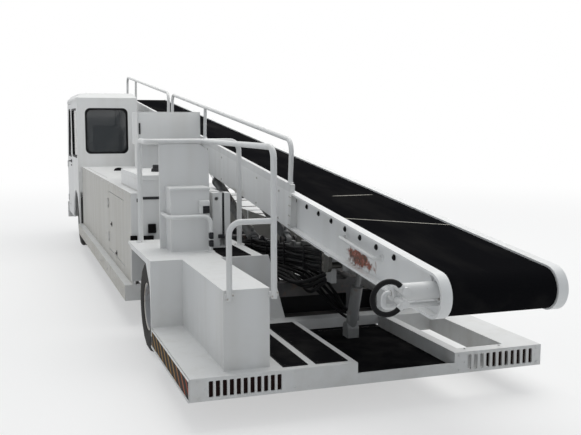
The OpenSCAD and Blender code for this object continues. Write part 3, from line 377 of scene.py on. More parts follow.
def boom_paint(look):
    """The boom's paint, rusted behind the grab handle, with painted shade, near-black, on the brackets below
    its flanges.
    """

    def patch(paint, colour):
        near = paint.node("ShaderNodeMapping", {"vector_type": "TEXTURE"}, {
            "Vector": paint.here, "Location": BOOM @ Vector(RUST_SPOT),
            "Rotation": (BOOM_TILT, 0.0, 0.0), "Scale": RUST_REACH,
        })
        reach = paint.node("ShaderNodeVectorMath", {"operation": "LENGTH"}, {0: near}, "Value")
        blotch = paint.noise(13.0, 6.0, 0.62)
        fleck = paint.noise(46.0, 4.0, 0.7)
        bare = (1.10 - reach + (blotch - 0.5) * 2.4).band(0.0, 0.35)
        tone = paint.mix(fleck.band(0.47, 0.58), (0.27, 0.062, 0.030), (0.055, 0.040, 0.026))
        colour = paint.mix((bare * fleck.band(0.30, 0.40) * look.rust * 1.4).band(0.0, 0.9), colour, tone)
        square = paint.node("ShaderNodeMapping", {"vector_type": "TEXTURE"}, {
            "Vector": paint.here, "Location": BOOM_FOOT, "Rotation": (BOOM_TILT, 0.0, 0.0),
        })
        # Painted shade: the brackets and arms below the boom's flanges are painted near-black.
        below = (0.0 - paint.axis("Z", square)).band(BOOM_DEPTH + 0.002, BOOM_DEPTH + 0.004)
        return paint.mix(below, colour, (0.035, 0.034, 0.030))

    # The boom's white is 1.12 times brighter than the body's: painted light on its web.
    return white_paint(look, "boom_paint", patch, 1.12)


def metal_paint(name, colour, roughness, dust, metallic, rust):
    """Painted or worn metal with dust on it and scratches in it."""
    paint = Paint(name)
    cloud = paint.noise(4.0, 5.0)
    grain = paint.noise(60.0, 4.0, 0.65)
    dusty = cloud.band(0.42, 0.8) * dust
    worn = grain.band(0.66, 0.74) * 0.45
    base = paint.mix(dusty, colour, (0.30, 0.28, 0.245))
    scratched = paint.mix(worn, base, tuple(min(1.0, c * 1.7 + 0.05) for c in colour))
    rusty = paint.noise(14.0, 5.0, 0.7).band(0.56, 0.66) * rust
    paint.bump(grain, 0.12, 0.002)
    return paint.finish(
        Base_Color=paint.mix(rusty, scratched, (0.16, 0.07, 0.032)),
        Roughness=roughness + dusty * 0.3 + rusty * 0.2,
        Metallic=metallic * (1.0 - rusty) if rust and metallic else metallic,
    )


# Each metal: colour, roughness, share of the dirt, metallic, share of the rust
METALS = {
    "chassis_black": ((0.026, 0.026, 0.029), 0.5, 0.55, 0.0, 0.5),
    "grey_steel": ((0.25, 0.255, 0.26), 0.45, 0.6, 0.0, 0.5),
    "rim_grey": ((0.42, 0.43, 0.45), 0.45, 0.8, 0.0, 0.6),
    "engine_iron": ((0.16, 0.165, 0.17), 0.6, 0.7, 0.0, 1.0),
    "bare_steel": ((0.45, 0.44, 0.43), 0.38, 0.4, 0.85, 0.4),
    "rod_chrome": ((0.72, 0.73, 0.74), 0.14, 0.15, 1.0, 0.0),
    "zinc_bolt": ((0.40, 0.39, 0.37), 0.42, 0.5, 0.8, 0.7),
}
# Each rubber or plastic: colour, scale of its grain, share of the dirt, roughness
RUBBERS = {
    "rubber_black": ((0.006, 0.006, 0.007), 160.0, 0.05, 0.5),
    "seat_vinyl": ((0.022, 0.022, 0.025), 240.0, 0.15, 0.52),
    "dash_plastic": ((0.03, 0.031, 0.035), 320.0, 0.25, 0.6),
}


def rubber(name, colour, grain_scale, dust, roughness):
    """Rubber, vinyl or plastic, dusty in its grain."""
    paint = Paint(name)
    cloud = paint.noise(5.0, 5.0)
    grain = paint.noise(grain_scale, 4.0, 0.7)
    dusty = cloud.band(0.4, 0.85) * dust + grain.band(0.6, 0.8, 0.2) * dust
    paint.bump(grain, 0.25, 0.002)
    return paint.finish(
        Base_Color=paint.mix(dusty, colour, (0.16, 0.15, 0.13)), Roughness=roughness + dusty * 0.15,
        Specular_IOR_Level=0.1,
    )


def tyre_black(look):
    """Tyre rubber: cross grooves follow the tread round, dust lies on the walls."""
    paint = Paint("tyre_black")
    place = paint.node("ShaderNodeUVMap", {"uv_map": "round"}, {})
    turn = paint.axis("X", place)
    across = paint.axis("Y", place)
    tread = (0.5 - (across - 0.5).abs()).band(0.14, 0.17)
    groove = ((turn * TREAD_BARS + (across - 0.5).abs() * 3.0) % 1.0 - 0.5).abs().band(0.36, 0.42)
    wall = ((across * 26.0) % 1.0 - 0.5).abs().band(0.36, 0.44) * (1.0 - tread)
    cloud = paint.noise(5.0, 5.0)
    grain = paint.noise(110.0, 4.0, 0.7)
    dusty = (cloud.band(0.36, 0.8) * 0.6 + groove * tread * 0.5) * look.dirt
    paint.bump(grain * 0.25 - groove * tread + wall * 0.35, 0.7, 0.006)
    return paint.finish(Base_Color=paint.mix(dusty, (0.014, 0.014, 0.015), (0.11, 0.10, 0.085)),
                        Roughness=0.78 + dusty * 0.15, Specular_IOR_Level=0.25)


def belt_black(look):
    """Rough-top belting: fine cross ribs, dust, and the pale lines of two mended joints."""
    paint = Paint("belt_black")
    along = paint.axis("Y")
    across = paint.axis("X")
    rib = ((along * 160.0) % 1.0 - 0.5).abs()
    cloud = paint.noise(2.2, 5.0, stretch=(2.0, 0.5, 2.0))
    grain = paint.noise(90.0, 4.0, 0.75)
    dusty = cloud.band(0.45, 0.85, 0.22) * look.dirt + grain.band(0.62, 0.74, 0.05)
    lines = None
    for start, slope, left, right, gaps in BELT_LINES:
        off = (along - (REAR_Y + start) - across * slope).abs()
        line = (0.007 - off).band(0.0, 0.003)
        line = line * (across - left).band(0.0, 0.01) * (right - across).band(0.0, 0.01)
        line = line * paint.noise(9.0, 2.0, 0.5).band(gaps, gaps + 0.06)
        lines = line if lines is None else lines + line
    paint.bump(rib + grain * 0.8 + lines, 0.4, 0.002)
    black = paint.mix(dusty, (0.007, 0.007, 0.008), (0.10, 0.095, 0.085))
    return paint.finish(Base_Color=paint.mix(lines, black, (0.52, 0.50, 0.45)), Roughness=0.85,
                        Specular_IOR_Level=0.0)


def mat_black(look):
    """Gritty anti-slip sheet, worn paler where feet stand."""
    paint = Paint("mat_black")
    grit = paint.noise(420.0, 2.0, 0.8)
    cloud = paint.noise(5.0, 5.0)
    worn = cloud.band(0.45, 0.8, 0.22) * look.dirt + grit.band(0.6, 0.75, 0.10)
    paint.bump(grit, 0.7, 0.002)
    colour = paint.mix(worn, (0.009, 0.009, 0.010), (0.12, 0.115, 0.105))
    return paint.finish(Base_Color=colour, Roughness=0.92, Specular_IOR_Level=0.0)


def hazard_sheet(_look):
    """Diagonal amber and dark brown bands, faded and scuffed, redder at the rear end."""
    paint = Paint("hazard_sheet")
    slope = paint.axis("Y") * 7.6 - paint.axis("Z") * 9.0
    stripe = ((slope % 1.0) - 0.5).abs().band(0.12, 0.15)
    cloud = paint.noise(7.0, 5.0)
    scuff = paint.noise(26.0, 5.0, 0.7).band(0.55, 0.72)
    front = (paint.axis("Y") - REAR_Y).band(0.05, 0.45)
    amber = paint.mix(front, (0.30, 0.050, 0.025), (0.30, 0.165, 0.040))
    bands = paint.mix(stripe, amber, (0.012, 0.009, 0.006))
    colour = paint.mix(scuff * 0.15 * cloud, bands, (0.42, 0.37, 0.30))
    return paint.finish(Base_Color=colour, Roughness=0.6 + scuff * 0.2, Specular_IOR_Level=0.1)


# Each lens: colour, roughness, coat, shine
LENSES = {
    "lamp_red": ((0.012, 0.003, 0.003), 0.4, 0.02, 0.05),
    # lamp_dark is near-black; on the housing's lamp blocks it is painted shade behind the grille's slots.
    "lamp_dark": ((0.006, 0.005, 0.005), 0.4, 0.02, 0.05),
    "lamp_amber": ((0.62, 0.20, 0.02), 0.18, 0.6, 0.5),
    "lamp_clear": ((0.66, 0.68, 0.71), 0.1, 0.6, 0.5),
}


def lens(name, colour, roughness, coat, shine):
    """A moulded lamp lens with fine upright ribs."""
    paint = Paint(name)
    rib = ((paint.axis("X") * 120.0) % 1.0 - 0.5).abs()
    paint.bump(rib, 0.3, 0.002)
    cloud = paint.noise(12.0, 3.0)
    return paint.finish(
        Base_Color=paint.mix(cloud, colour, tuple(c * 0.7 for c in colour)),
        Roughness=roughness + cloud * 0.1,
        Coat_Weight=coat,
        Specular_IOR_Level=shine,
    )


def tinted_glass(look):
    """Grey glass, a little dusty, that the cab's inside shows through."""
    paint = Paint("tinted_glass")
    smear = paint.noise(3.0, 4.0)
    dust = smear.band(0.45, 0.9) * look.dirt * 0.3
    colour = paint.mix(dust, (0.035, 0.04, 0.045), (0.30, 0.30, 0.28))
    return paint.finish(
        Base_Color=colour, Roughness=0.06 + dust * 0.4, Alpha=0.66 + dust * 0.2, Coat_Weight=0.5,
    )


def dial_face(_look):
    """A gauge's dark face with a ring of pale ticks round its own middle."""
    paint = Paint("dial_face")
    place = paint.node("ShaderNodeUVMap", {"uv_map": "round"}, {})
    turn = paint.axis("X", place)
    reach = paint.axis("Y", place)
    tick = ((turn * 30.0) % 1.0 - 0.5).abs().band(0.40, 0.44)
    tick = tick * reach.band(0.66, 0.70) * (0.9 - reach).band(0.0, 0.04)
    return paint.finish(Base_Color=paint.mix(tick, (0.012, 0.012, 0.014), (0.7, 0.7, 0.68)),
                        Roughness=0.25 + tick * 0.2)


# The finishes that are like no other
FINISHES = (
    white_paint, boom_paint, tyre_black, belt_black, mat_black, hazard_sheet, tinted_glass, dial_face,
)
# Nodes whose finish is not simply their slot's
OWN_FINISH = {"boom_frame": "boom_paint"}


# Tables of places, in metres from the rear bumper's face


TREAD_BARS = 56.0
# Each pale line on the belt: start, slope across, left end, right end, how broken
BELT_LINES = ((0.284, -0.493, -0.09, 0.48, 0.2), (0.9975, 0.02, 0.09, 0.44, 0.42))

# The wheels' middles, left and right of the machine's and above the ground
WHEEL_MID = 0.955
WHEEL_Z = 0.33
NUT_CIRCLE = 0.088
# Each wheel: node ending, side (-1 left, 1 right), place along the machine
WHEELS = (("rl", -1, 1.700), ("rr", 1, 1.700), ("fl", -1, 7.320), ("fr", 1, 7.320))
# Half of a tyre's closed section: radius, distance from its middle
TYRE_HALF = (
    (0.3300, 0.022), (0.3215, 0.026), (0.3215, 0.032), (0.3290, 0.036), (0.3285, 0.058), (0.3195, 0.077),
    (0.3030, 0.088), (0.2620, 0.0945), (0.2080, 0.0945), (0.1780, 0.088), (0.1690, 0.077),
)
TYRE_STEPS = 34
TYRE_WIDTH = 0.19
# Where the shoulder lugs begin: radius and distance from the tyre's middle
SHOULDER = (0.29, 0.07)

WEB_L = -0.098
WEB_R = 0.488
BOOM_L = -0.145
BOOM_R = 0.535
# The outer face of each side's open channel, the outer face of its closed part, and which way is out
BOOM_SIDES = ((WEB_L, BOOM_L, -1), (WEB_R, BOOM_R, 1))
IDLERS = tuple(0.48 + 0.219 * k for k in range(8))
BOOM_LENGTH = 10.1
BOOM_DEPTH = 0.145
# The left arm's front end and how steeply the arm rises from there towards the rear
ARM_FRONT = 2.38
ARM_SLOPE = 0.0836
# The hoses between the rails: the first one's X and the step to the next
RAIL_HOSE_X = -0.235
RAIL_HOSE_STEP = 0.062
# Each long hose: its X at the front, its X by the tie at the rear, how low it hangs, its rear end
ARM_HOSES = (
    (-0.240, -0.175, 0.555, (-0.068, 0.610, 0.707)), (-0.212, -0.140, 0.520, (-0.068, 0.610, 0.681)),
    (-0.184, -0.105, 0.490, (-0.055, 0.612, 0.700)), (-0.156, -0.060, 0.455, (-0.055, 0.612, 0.670)),
    (-0.128, -0.020, 0.430, (0.172, 0.838, 0.385)), (-0.100, 0.020, 0.405, (0.195, 0.838, 0.345)),
    (-0.072, 0.060, 0.440, (0.218, 0.838, 0.385)), (0.115, 0.105, 0.480, (0.195, 0.838, 0.385)),
)
# Each hose to the rear tie: its X at the front, its X at the tie
TIE_HOSES = ((-0.262, -0.287), (-0.204, -0.252), (-0.142, -0.215))
# Each hose of the left arm's bundle: its X at the front
ARM_STARTS = (-0.250, -0.223, -0.190, -0.163, -0.130, -0.103)


def wheel_axes(side, y):
    """Axes with Z out of the wheel along its spindle."""
    hub = Matrix.Translation((side * WHEEL_MID, y, WHEEL_Z))
    return MACHINE @ hub @ Matrix.Rotation(side * math.pi / 2, 4, "Y")


def round_map(mesh, axes, reach):
    """A UV map: U counts turns round the local Z of axes, V is what reach gives for the place."""
    layer = mesh.uv_layers.new(name="round")
    back = axes.inverted()
    for face in mesh.polygons:
        middle = back @ face.center
        heading = math.atan2(middle.y, middle.x)
        for loop in face.loop_indices:
            place = back @ mesh.vertices[mesh.loops[loop].vertex_index].co
            turn = math.atan2(place.y, place.x) - heading
            turn = (turn + math.pi) % math.tau - math.pi
            layer.data[loop].uv = ((heading + turn) / math.tau, reach(place))


# Operators


class LOADER_OT_paint_frame(bpy.types.Operator):
    """Give every part of the frame its finish"""

    bl_idname = "loader.paint_frame"
    bl_label = "Paint the Frame"

    def execute(self, context):
        look = context.scene.loader_look
        for finish in FINISHES:
            PAINTS[finish.__name__] = finish(look)
        for name, (colour, roughness, dust, metallic, rust) in METALS.items():
            PAINTS[name] = metal_paint(name, colour, roughness, look.dirt * dust, metallic, look.rust * rust)
        for name, (colour, grain, dust, roughness) in RUBBERS.items():
            PAINTS[name] = rubber(name, colour, grain, look.dirt * dust, roughness)
        for name, values in LENSES.items():
            PAINTS[name] = lens(name, *values)
        for name, part in NODES.items():
            part.data.materials.clear()
            part.data.materials.append(PAINTS[OWN_FINISH.get(name, SLOT_OF[name])])
        return {"FINISHED"}


class LOADER_OT_fit_tyres(bpy.types.Operator):
    """Turn the four tyres with their grooves and shoulder lugs"""

    bl_idname = "loader.fit_tyres"
    bl_label = "Fit the Tyres"

    def execute(self, context):
        lug = context.scene.loader_wheels.lug
        half = list(TYRE_HALF)
        profile = half + [(r, -z) for r, z in reversed(half)] + half[:1]
        for ending, side, y in WHEELS:
            axes = wheel_axes(side, y)
            shape = Shape(Matrix()).turned(profile, steps=TYRE_STEPS)
            for corner in shape.mesh.verts:
                reach = corner.co.xy.length
                bar = round(math.atan2(corner.co.y, corner.co.x) / math.tau * TYRE_STEPS)
                if reach > SHOULDER[0] and abs(corner.co.z) > SHOULDER[1] and bar % 2:
                    corner.co.xy *= 1.0 - lug / reach
            bmesh.ops.transform(shape.mesh, matrix=axes, verts=shape.mesh.verts)
            tyre = shape.piece(f"treaded_tyre_{ending}", "tyre_black", f"wheel_{ending}", smooth=30.0)
            round_map(tyre.data, axes, lambda p: p.z / TYRE_WIDTH + 0.5)
            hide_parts(f"tyre_{ending}")
        return {"FINISHED"}


class LOADER_OT_fit_wheel_nuts(bpy.types.Operator):
    """Bolt on the rims: nuts, hub caps and valves"""

    bl_idname = "loader.fit_wheel_nuts"
    bl_label = "Fit the Wheel Nuts"

    def execute(self, context):
        wheels = context.scene.loader_wheels
        for ending, side, y in WHEELS:
            axes = wheel_axes(side, y)
            nuts = Shape(axes)
            for x, z in ring(wheels.nuts, NUT_CIRCLE, math.pi / wheels.nuts):
                spot = Vector((x, z, 0.0))
                nuts.rod(spot, spot + Vector((0, 0, 0.004)), 0.017, sides=16)
                nuts.rod(spot, spot + Vector((0, 0, 0.018)), 0.0125, 0.0115, sides=6)
                nuts.rod(spot, spot + Vector((0, 0, 0.026)), 0.006, sides=10, bevel=0.001)
            nuts.turned(((0.062, 0.026), (0.066, 0.030), (0.064, 0.036), (0.050, 0.040), (0.046, 0.052),
                         (0.030, 0.057), (0.0, 0.058)), steps=32)
            nuts.turned(((0.1665, 0.077), (0.1745, 0.0785), (0.1745, 0.082), (0.163, 0.082), (0.158, 0.074)))
            nuts.pipe(((0.140, 0, -0.006), (0.143, 0, 0.012), (0.150, 0, 0.030)), 0.004, sides=8)
            nuts.piece(f"wheel_nuts_{ending}", "rim_grey", f"wheel_{ending}", "zinc_bolt")
        return {"FINISHED"}


class LOADER_OT_fit_boom_fittings(bpy.types.Operator):
    """Fit the boom's bearings, bolts, joint straps and rail feet"""

    bl_idname = "loader.fit_boom_fittings"
    bl_label = "Fit the Boom's Fittings"

    def execute(self, context):
        bearings, bolts, straps, collars = Shape(BOOM), Shape(BOOM), Shape(BOOM), Shape(BOOM)
        for web, side_face, out in BOOM_SIDES:
            for s in IDLERS:
                bearings.rod((web, s, 0.052), (web + out * 0.004, s, 0.052), 0.0165, sides=20)
                bearings.rod((web, s, 0.052), (web + out * 0.010, s, 0.052), 0.0115, 0.0100, sides=16)
            for s, face in ((0.0, web), (BOOM_LENGTH, side_face)):
                if out < 0 and s == 0.0:
                    continue
                bearings.plate(face, out, 0.012, (s - 0.06, -0.06), (s + 0.06, 0.06), 0.006)
                bearings.rod((face + out * 0.012, s, 0), (face + out * 0.034, s, 0), 0.038, 0.034, sides=28)
                bearings.rod((face + out * 0.034, s, 0), (face + out * 0.042, s, 0), 0.019, sides=20)
                for ds, dt in ((-0.042, -0.042), (0.042, -0.042), (-0.042, 0.042), (0.042, 0.042)):
                    bolts.bolt((face + out * 0.012, s + ds, dt), (out, 0, 0), 0.011)
            straps.plate(side_face, out, 0.003, (1.975, -0.142), (2.025, 0.108), 0.001)
            for t in (-0.115, -0.05, 0.02, 0.08):
                for s in (1.988, 2.012):
                    bolts.bolt((side_face + out * 0.003, s, t), (out, 0, 0), 0.007, False)
            for k in range(14):
                for t in (0.078, -0.118):
                    bolts.bolt((side_face, 2.25 + 0.55 * k, t), (out, 0, 0), 0.009)
            for s in (9.2, 9.72):
                straps.plate(side_face, out, 0.006, (s, -0.03), (s + 0.20, 0.03), 0.002)
                for ds in (0.03, 0.17):
                    bolts.bolt((side_face + out * 0.006, s + ds, 0.0), (out, 0, 0), 0.012)
        for s in (2.055, 4.63, 6.29, 6.53, 9.09, 9.95):
            collars.turned(((0.0172, 0.165), (0.0225, 0.165), (0.0225, 0.169), (0.0172, 0.176)),
                           Matrix.Translation((-0.130, s, 0.0)), 20)
        for s in (0.62, 1.105):
            collars.turned(((0.0112, 0.0), (0.022, 0.0), (0.022, 0.004), (0.0112, 0.009)),
                           Matrix.Translation((WEB_L, s, 0.012)) @ Matrix.Rotation(-math.pi / 2, 4, "Y"), 20)
        bearings.piece("roller_bearings", "chassis_black", "boom", "rubber_black")
        bolts.piece("boom_bolts", "bare_steel", "boom", "zinc_bolt")
        straps.piece("boom_joint_straps", "white_paint", "boom")
        collars.piece("rail_collars", "white_paint", "boom")
        return {"FINISHED"}


class LOADER_OT_hang_flap(bpy.types.Operator):
    """Hang the rubber flap between the platform and the frame"""

    bl_idname = "loader.hang_flap"
    bl_label = "Hang the Dirt Flap"

    def execute(self, context):
        flap = Shape()
        flap.blocks((
            ((-0.380, 1.2795, 0.300), (0.560, 1.2845, 0.4285)),
            ((-0.300, 1.2795, 0.4285), (0.300, 1.2845, 0.470)),
            ((-0.120, 1.052, 0.2145), (0.496, 1.197, 0.2185)),
        ), 0.001)
        for x in (-0.26, -0.09, 0.09, 0.26):
            flap.bolt((x, 1.2845, 0.455), AHEAD, 0.010)
        flap.piece("dirt_flap", "rubber_black")
        return {"FINISHED"}


class LOADER_OT_route_hoses(bpy.types.Operator):
    """Route the hydraulic hoses in their clips, on the frame and under the boom"""

    bl_idname = "loader.route_hoses"
    bl_label = "Route the Hoses"

    def execute(self, context):
        runs = context.scene.loader_hoses
        hoses, clips, ties = Shape(), Shape(), Shape()
        self.run_between_rails(hoses, clips, ties, runs)
        clips.block((-0.28, 2.628, 0.552), (0.27, 2.70, 0.632), 0.005)
        for x in (0.165, 0.235):
            clips.bolt((x, 2.664, 0.632), UP, 0.010)
        self.run_to_arms(hoses, clips, ties, runs.radius)
        self.run_to_tie(hoses, ties, runs.radius)
        self.run_along_arm(hoses, ties, runs.radius)
        hoses.piece("frame_hoses", "rubber_black", smooth=60.0)
        clips.piece("hose_clips", "grey_steel")
        ties.piece("hose_ends", "bare_steel", finish="zinc_bolt")
        self.run_under_boom()
        return {"FINISHED"}

    def run_between_rails(self, hoses, clips, ties, runs):
        """Lays the hoses side by side between the rails, under two clamp bars."""
        for k in range(runs.count):
            x = RAIL_HOSE_X + RAIL_HOSE_STEP * k
            wave = 0.018 * math.sin(2.1 * k + 0.4)
            points = [(x, 1.285, 0.492)]
            for j, y in enumerate((1.31, 1.45, 1.62, 1.80, 1.98, 2.16, 2.34, 2.47)):
                lift = 0.010 * math.sin(1.7 * j + 1.3 * k)
                points.append((x + wave * math.sin(1.25 * j + k), y, 0.497 + 0.008 * j + lift))
            points += [(x, 2.535, 0.566), (x, 2.60, 0.585)]
            hoses.pipe(points, runs.radius - 0.002 * (k % 2), loose=True)
            ties.rod((x, 1.279, 0.492), (x, 1.300, 0.492), runs.radius + 0.005, sides=6)
            ties.rod((x, 1.300, 0.492), (x, 1.322, 0.493), runs.radius + 0.003, sides=16)
            ties.rod((x, 2.590, 0.583), (x, 2.628, 0.590), runs.radius + 0.004, sides=16)
        for y, z in ((1.55, 0.520), (2.08, 0.548)):
            clips.block((-0.305, y - 0.012, z + 0.018), (0.305, y + 0.012, z + 0.026), 0.002)
            for k in range(runs.count):
                x = RAIL_HOSE_X + RAIL_HOSE_STEP * k
                hoop = ((-0.021, 0.020), (-0.021, -0.034), (0.021, -0.034), (0.021, 0.020))
                clips.pipe([(x + dx, y, z + dz) for dx, dz in hoop], 0.003, 0.016, 6)

    def run_to_arms(self, hoses, clips, ties, radius):
        """Lays the long hoses to the left arm's clamp and the short cylinder."""
        for k, (start, over, sag, end) in enumerate(ARM_HOSES):
            middle = Vector(((over + end[0]) / 2, 0.98, sag))
            thick = radius - 0.0015 * (k % 3)
            points = [(start, 2.664, 0.640), (start, 2.664, 0.672), (start, 2.60, 0.680),
                      (start, 2.46, 0.600), (start, 2.32, 0.564),
                      (start * 0.7 + over * 0.3, 2.00, 0.560 + 0.003 * (k % 3)),
                      (start * 0.35 + over * 0.65, 1.62, 0.590 - 0.012 * (k % 2)),
                      (over, 1.36, 0.575 + 0.010 * (k % 3)), (over + 0.03, 1.24, 0.562 + 0.010 * (k % 3)),
                      middle, (end[0], end[1] + 0.10, end[2] - 0.03), end]
            hoses.pipe(points, thick, loose=True)
            ties.rod((start, 2.664, 0.630), (start, 2.664, 0.656), thick + 0.004, sides=6)
            way = Vector((0.0, -0.10, 0.03)).normalized()
            ties.rod(Vector(end) - way * 0.004, Vector(end) + way * 0.030, thick + 0.004, sides=6)
        clips.block((-0.082, 0.520, 0.655), (-0.0455, 0.600, 0.775), 0.004)
        clips.block((0.155, 0.800, 0.330), (0.235, 0.830, 0.400), 0.004)

    def run_to_tie(self, hoses, ties, radius):
        """Lays the hoses that end at the rear tie."""
        for k, (start, end) in enumerate(TIE_HOSES):
            near = end * 0.8 + start * 0.2
            points = [(start, 2.615, 0.585), (start, 2.56, 0.592), (start * 0.9 + end * 0.1, 2.38, 0.648),
                      (start * 0.6 + end * 0.4, 2.00, 0.622 + 0.014 * (k % 3)),
                      (near, 1.62, 0.628 - 0.012 * (k % 2)), (end, 1.36, 0.640 + 0.010 * (k % 2)),
                      (end, 1.262, 0.622), (end, 1.240, 0.580), (end, 1.238, 0.552)]
            hoses.pipe(points, radius + 0.0025, loose=True)
            ties.rod((start, 2.590, 0.588), (start, 2.628, 0.584), radius + 0.004, sides=16)
            ties.rod((end, 1.238, 0.540), (end, 1.238, 0.568), radius + 0.005, sides=6)

    def run_along_arm(self, hoses, ties, radius):
        """Lays a bundle along the left arm's outer side, with a strap at each hanger."""
        for k, start in enumerate(ARM_STARTS):
            level = 0.572 + 0.0245 * k
            side = -0.061 - 0.013 * (k % 2)
            ties.rod((start, 2.596, 0.624), (start, 2.628, 0.620), radius + 0.001, sides=6)
            points = [(start, 2.615, 0.622), (start, 2.57, 0.630),
                      (start * 0.6 - 0.03, 2.44, 0.61 + 0.012 * k)]
            for j in range(8):
                y = 2.26 - 0.21 * j
                sag = 0.011 * abs(math.sin(0.5 * math.pi * j)) + 0.004 * math.sin(1.9 * j + k)
                points.append((side - sag, y, level + (ARM_FRONT - y) * ARM_SLOPE - sag))
            end = (side, 0.70, level + 1.68 * ARM_SLOPE)
            hoses.pipe((*points, end), radius - 0.001, loose=True)
            ties.rod(end, (side, 0.664, level + 1.716 * ARM_SLOPE), 0.015, sides=6)
        for y in (2.26, 1.84, 1.42, 1.00, 0.682):
            z = 0.620 + (ARM_FRONT - y) * ARM_SLOPE
            hoses.block((-0.0945, y - 0.014, z - 0.070), (-0.0905, y + 0.014, z + 0.094), 0.001)
            for edge in (z - 0.070, z + 0.090):
                hoses.block((-0.0905, y - 0.014, edge), (-0.0455, y + 0.014, edge + 0.004), 0.001)

    def run_under_boom(self):
        """Lays three hoses under the boom, sagging a little between their clips."""
        hoses, clips = Shape(BOOM), Shape(BOOM)
        for k, x in enumerate((-0.055, -0.025, 0.005)):
            points = [(x, 0.66, -0.121)]
            for j in range(22):
                s = 0.75 + 0.2 * j
                sag = 0.012 * abs(math.sin(math.pi * (s - 0.725) / 1.18))
                points.append((x + 0.004 * math.sin(2.3 * j + k), s, -0.1555 - sag))
            points += [(x, 5.02, -0.150), (x, 5.06, -0.125)]
            hoses.pipe(points, 0.0105, sides=10, loose=True)
        for s in (0.7, 1.88, 3.06, 4.24):
            clips.block((-0.075, s + 0.012, -0.170), (0.025, s + 0.036, -0.1665), 0.001)
            for x in (-0.073, 0.017):
                clips.block((x, s + 0.012, -0.168), (x + 0.006, s + 0.036, -0.142), 0.001)
        hoses.piece("boom_hoses", "rubber_black", "boom", smooth=60.0)
        clips.piece("boom_hose_clips", "grey_steel", "boom")


class LOADER_OT_fit_cylinders(bpy.types.Operator):
    """Fit the lift cylinders' glands, ports and oil pipes, and the drive motor's screws"""

    bl_idname = "loader.fit_cylinders"
    bl_label = "Fit the Cylinders"

    def execute(self, context):
        # The lower pins' place, the way from there to the upper ones, and the barrels' length
        foot = Vector((0.0, 2.6, 0.64))
        reach = Vector((0.0, 1.68481, 0.530591))
        way = reach.normalized()
        square = Vector((0.0, -way.z, way.y))
        length = reach.length - 0.33

        def spot(base, along, off):
            return base + way * along + square * off

        glands, pipes = Shape(), Shape()
        for x in (0.045, 0.345):
            base = foot + Vector((x, 0, 0))
            end = base + way * length
            glands.rod(end - way * 0.055, end - way * 0.004, 0.052, sides=36, bevel=0.003)
            glands.rod(end - way * 0.004, end + way * 0.006, 0.040, 0.033, sides=32)
            glands.rod(base + way * 0.068, base + way * 0.086, 0.050, sides=36, bevel=0.003)
            for d in (0.11, length - 0.085):
                glands.rod(spot(base, d, 0.036), spot(base, d, 0.066), 0.016, sides=6)
                glands.rod(spot(base, d, 0.062), spot(base, d, 0.075), 0.011, sides=14)
            route = ((0.11, 0.072), (0.11, 0.083), (0.17, 0.058), (length - 0.16, 0.058),
                     (length - 0.085, 0.083), (length - 0.085, 0.072))
            pipes.pipe([spot(base, along, off) for along, off in route], 0.007, 0.02, 10)
            for d in (0.35, 0.75, 1.15):
                glands.rod(base + way * (d - 0.012), base + way * (d + 0.012), 0.0475, sides=36)
                half = Vector((0.012, 0.012, 0.012))
                glands.block(spot(base, d, 0.052) - half, spot(base, d, 0.052) + half, 0.002)
        glands.piece("lift_glands", "grey_steel", "barrels")
        pipes.piece("lift_pipes", "bare_steel", "barrels", "zinc_bolt")

        screws = Shape(BOOM)
        for s, t in ring(4, 0.037, math.pi / 4):
            screws.bolt((WEB_L - 0.014, s, 0.016 + t), LEFT, 0.009)
        screws.bolt((-0.348, 0.0, 0.026), LEFT, 0.014)
        screws.piece("motor_screws", "bare_steel", "boom", "zinc_bolt")
        return {"FINISHED"}


